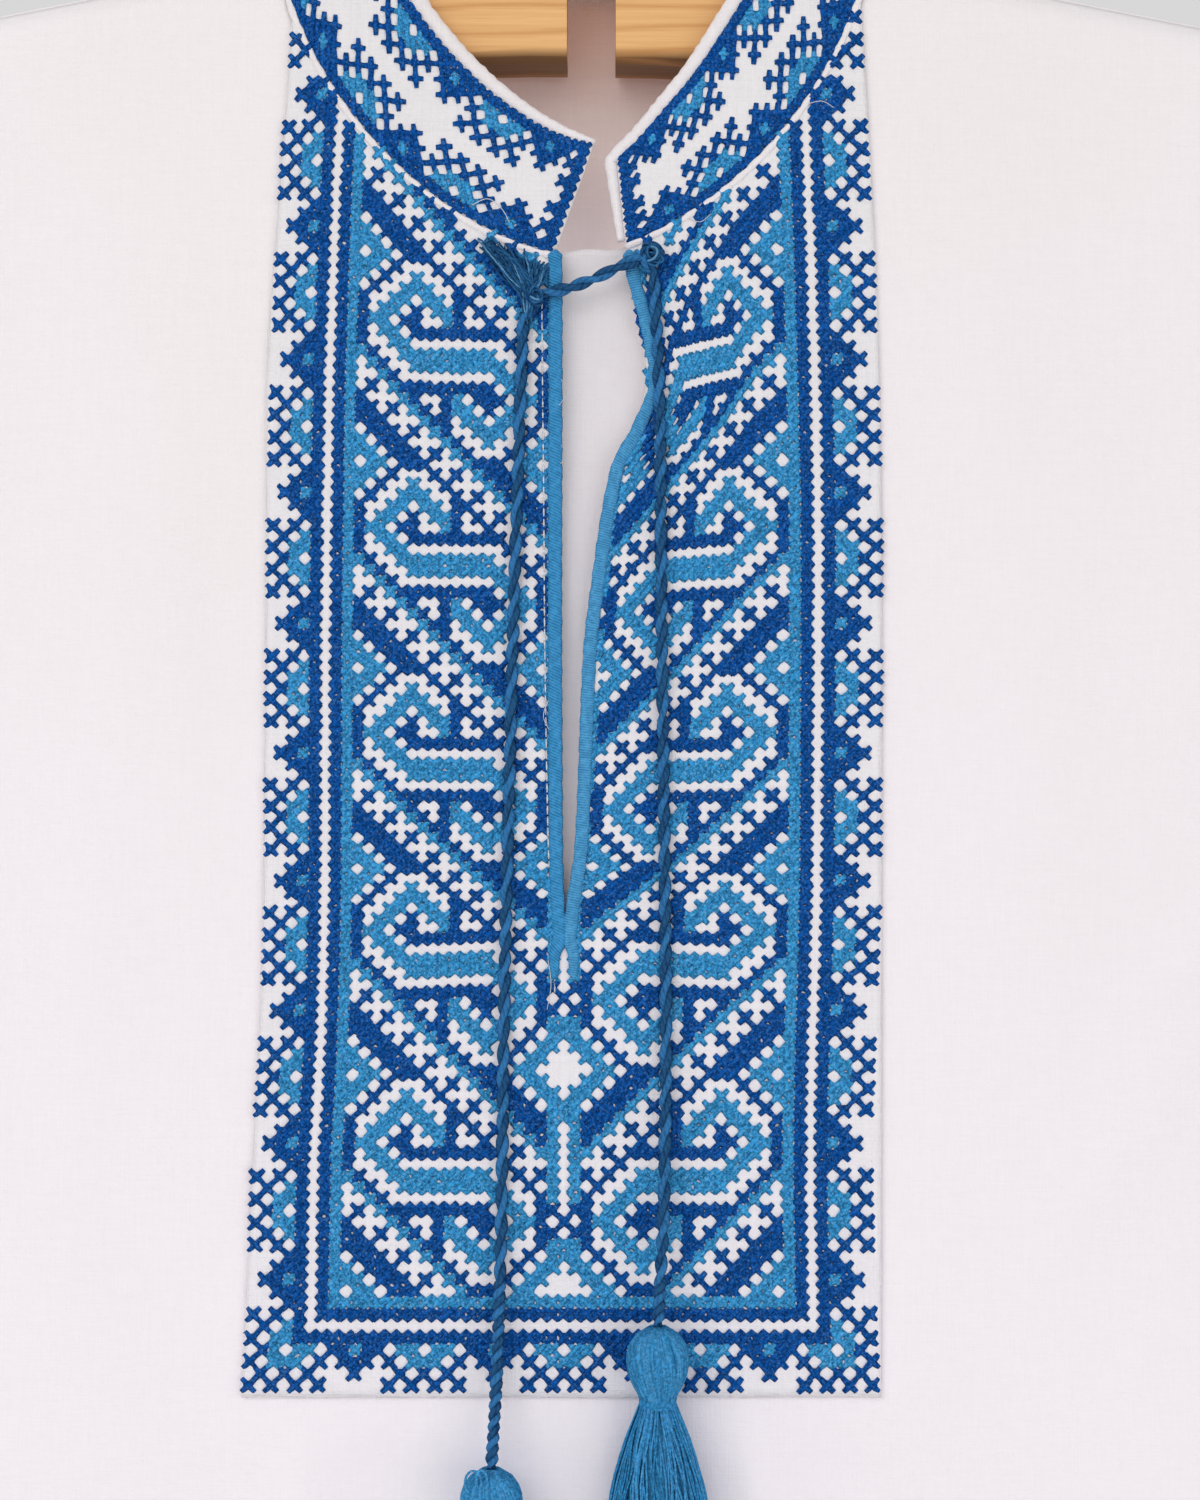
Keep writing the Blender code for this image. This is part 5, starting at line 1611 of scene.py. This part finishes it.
def make_loose_threads():
    """A few ends of white thread that curl off the seams."""
    thread = thread_paint("loose_white_thread", (0.80, 0.80, 0.84), 0.15, 0.1)
    lines = []
    for marks in LOOSE_THREADS:
        x, z = pixel_to_shirt(*np.array(marks, dtype=float).T)
        lift = PANEL_FACE + 0.0008 + 0.0006 * np.sin(np.linspace(0, math.pi, len(x)))
        lines.append(smooth_line(on_front(x, z, lift), 20))
    add_tubes("loose_threads", [thread], lines, 0.00011, (), "light_thread", sides=5)


def make_hanger():
    sizes = bpy.context.scene.shirt_hanger
    nodes = frame["nodes"]
    wood = wood_paint("planed_pine", sizes.early, sizes.late)
    steel = steel_paint("drawn_steel", sizes.steel)
    for name, paint in (("hanger", wood), ("hook", steel)):
        nodes[name].data.materials.clear()
        nodes[name].data.materials.append(paint)


def add_light(name, power, size, at, towards, colour):
    light = bpy.data.lights.new(name, "AREA")
    light.shape = "RECTANGLE"
    light.size, light.size_y = size
    light.energy = power
    light.color = colour
    lamp = bpy.data.objects.new(name, light)
    lamp.location = at
    lamp.rotation_euler = (Vector(towards) - Vector(at)).to_track_quat("-Z", "Y").to_euler()
    bpy.context.scene.collection.objects.link(lamp)


def make_stage():
    """A round pale floor under the shirt, and soft light from the front and all round."""
    sizes = bpy.context.scene.shirt_stage
    scene = bpy.context.scene
    scene.view_settings.view_transform = "Standard"
    bm = bmesh.new()
    bmesh.ops.create_circle(bm, cap_ends=True, segments=96, radius=7.0)
    bmesh.ops.translate(bm, verts=bm.verts[:], vec=(0.0, 0.0, sizes.floor))
    mesh = to_mesh(bm, "pale_floor")
    floor = bpy.data.objects.new("pale_floor", mesh)
    mesh.materials.append(plain_paint("pale_paper", (0.86, 0.84, 0.80), 0.9))
    scene.collection.objects.link(floor)
    world = bpy.data.worlds.new("soft_room")
    scene.world = world
    world.use_nodes = True
    room = world.node_tree.nodes["Background"].inputs
    room["Color"].default_value = (1.0, 1.0, 1.0, 1.0)
    room["Strength"].default_value = sizes.sky
    add_light("key_light", sizes.key, (1.3, 1.1), (-0.75, -1.45, 0.30), (0, 0, -0.35),
              (1.0, 0.995, 0.985))
    add_light("fill_light", sizes.key * FILL_SHARE, (1.2, 1.2), (1.0, -1.3, -0.75),
              (0, 0, -0.38), (0.98, 0.985, 1.0))


def make_camera():
    camera = bpy.data.cameras.new("photo_camera")
    camera.lens = LENS
    camera.sensor_width = SENSOR_WIDTH
    camera.clip_start = 0.02
    seer = bpy.data.objects.new("photo_camera", camera)
    seer.location = (NECK_POINT[0] + VIEW_CENTRE[0], -CAMERA_DISTANCE,
                     NECK_POINT[2] + VIEW_CENTRE[1])
    seer.rotation_euler = (math.pi / 2, 0.0, 0.0)
    bpy.context.scene.collection.objects.link(seer)
    bpy.context.scene.camera = seer


# ------------------------------------------------------------------------- operators


class SHIRT_OT_camera(bpy.types.Operator):
    """Place the camera straight in front of the neck"""
    bl_idname = "shirt.camera"
    bl_label = "Camera"

    def execute(self, context):
        make_camera()
        return {"FINISHED"}


class SHIRT_OT_cords(bpy.types.Operator):
    """Twist the cords, tie their knots and hang their tassels"""
    bl_idname = "shirt.cords"
    bl_label = "Cords and tassels"

    def execute(self, context):
        made = make_cords()
        make_knots()
        tassels = {}
        for seed, (name, (_, path)) in enumerate(made.items()):
            top = path[-1] + np.array((0.0, 0.0, 0.0002))
            tassels[name] = make_tassel(name, top, 20 + seed)
        declare_cords(made, tassels)
        return {"FINISHED"}


class SHIRT_OT_body(bpy.types.Operator):
    """Sew the front and the back"""
    bl_idname = "shirt.body"
    bl_label = "Front and back"

    def execute(self, context):
        make_front()
        make_back()
        return {"FINISHED"}


class SHIRT_OT_sleeves(bpy.types.Operator):
    """Set in both sleeves"""
    bl_idname = "shirt.sleeves"
    bl_label = "Sleeves"

    def execute(self, context):
        make_sleeves()
        return {"FINISHED"}


class SHIRT_OT_panel(bpy.types.Operator):
    """Apply the chest panel, bind the slit and line it"""
    bl_idname = "shirt.panel"
    bl_label = "Chest panel and slit"

    def execute(self, context):
        make_panel()
        make_underlay()
        make_bindings()
        return {"FINISHED"}


class SHIRT_OT_collar(bpy.types.Operator):
    """Stand the collar band up and roll its edge"""
    bl_idname = "shirt.collar"
    bl_label = "Collar"

    def execute(self, context):
        make_collar_edges(*make_collar())
        return {"FINISHED"}


class SHIRT_OT_embroidery(bpy.types.Operator):
    """Work the chart in cross stitch on the panel and the collar"""
    bl_idname = "shirt.embroidery"
    bl_label = "Embroidery"

    def execute(self, context):
        make_embroidery()
        return {"FINISHED"}


class SHIRT_OT_seams(bpy.types.Operator):
    """Sew the seams and hems and leave a few loose threads"""
    bl_idname = "shirt.seams"
    bl_label = "Seams and threads"

    def execute(self, context):
        make_seams()
        make_loose_threads()
        return {"FINISHED"}


class SHIRT_OT_hanger(bpy.types.Operator):
    """Finish the board and its hook"""
    bl_idname = "shirt.hanger"
    bl_label = "Hanger"

    def execute(self, context):
        make_hanger()
        return {"FINISHED"}


class SHIRT_OT_stage(bpy.types.Operator):
    """Lay the floor and light the shirt softly"""
    bl_idname = "shirt.stage"
    bl_label = "Stage"

    def execute(self, context):
        make_stage()
        return {"FINISHED"}


STEPS = (SHIRT_OT_camera, SHIRT_OT_cords, SHIRT_OT_body, SHIRT_OT_sleeves, SHIRT_OT_panel,
         SHIRT_OT_collar, SHIRT_OT_embroidery, SHIRT_OT_seams, SHIRT_OT_hanger, SHIRT_OT_stage)
GROUPS = {"shirt_cloth": ClothSizes, "shirt_stitches": StitchSizes, "shirt_cords": CordSizes,
          "shirt_tassels": TasselSizes, "shirt_hanger": HangerSizes, "shirt_stage": StageSizes}


class SHIRT_PT_sidebar(bpy.types.Panel):
    """Lists the shirt's sizes and the steps that build it"""
    bl_idname = "SHIRT_PT_sidebar"
    bl_label = "Embroidered shirt"
    bl_space_type = "VIEW_3D"
    bl_region_type = "UI"
    bl_category = "Shirt"

    def draw(self, context):
        for name, group in GROUPS.items():
            box = self.layout.box()
            for key in group.__annotations__:
                box.prop(getattr(context.scene, name), key)
        for step in STEPS:
            self.layout.operator(step.bl_idname)


def register():
    for group in GROUPS.values():
        bpy.utils.register_class(group)
    for name, group in GROUPS.items():
        setattr(bpy.types.Scene, name, PointerProperty(type=group))
    for step in (*STEPS, SHIRT_PT_sidebar):
        bpy.utils.register_class(step)


def unregister():
    for step in (SHIRT_PT_sidebar, *reversed(STEPS)):
        bpy.utils.unregister_class(step)
    for name in GROUPS:
        delattr(bpy.types.Scene, name)
    for group in GROUPS.values():
        bpy.utils.unregister_class(group)


def main():
    register()
    bpy.ops.shirt.camera()
    bpy.ops.shirt.cords()
    bpy.ops.shirt.body()
    bpy.ops.shirt.sleeves()
    bpy.ops.shirt.panel()
    bpy.ops.shirt.collar()
    bpy.ops.shirt.embroidery()
    bpy.ops.shirt.seams()
    bpy.ops.shirt.hanger()
    bpy.ops.shirt.stage()


if __name__ == "__main__":
    main()
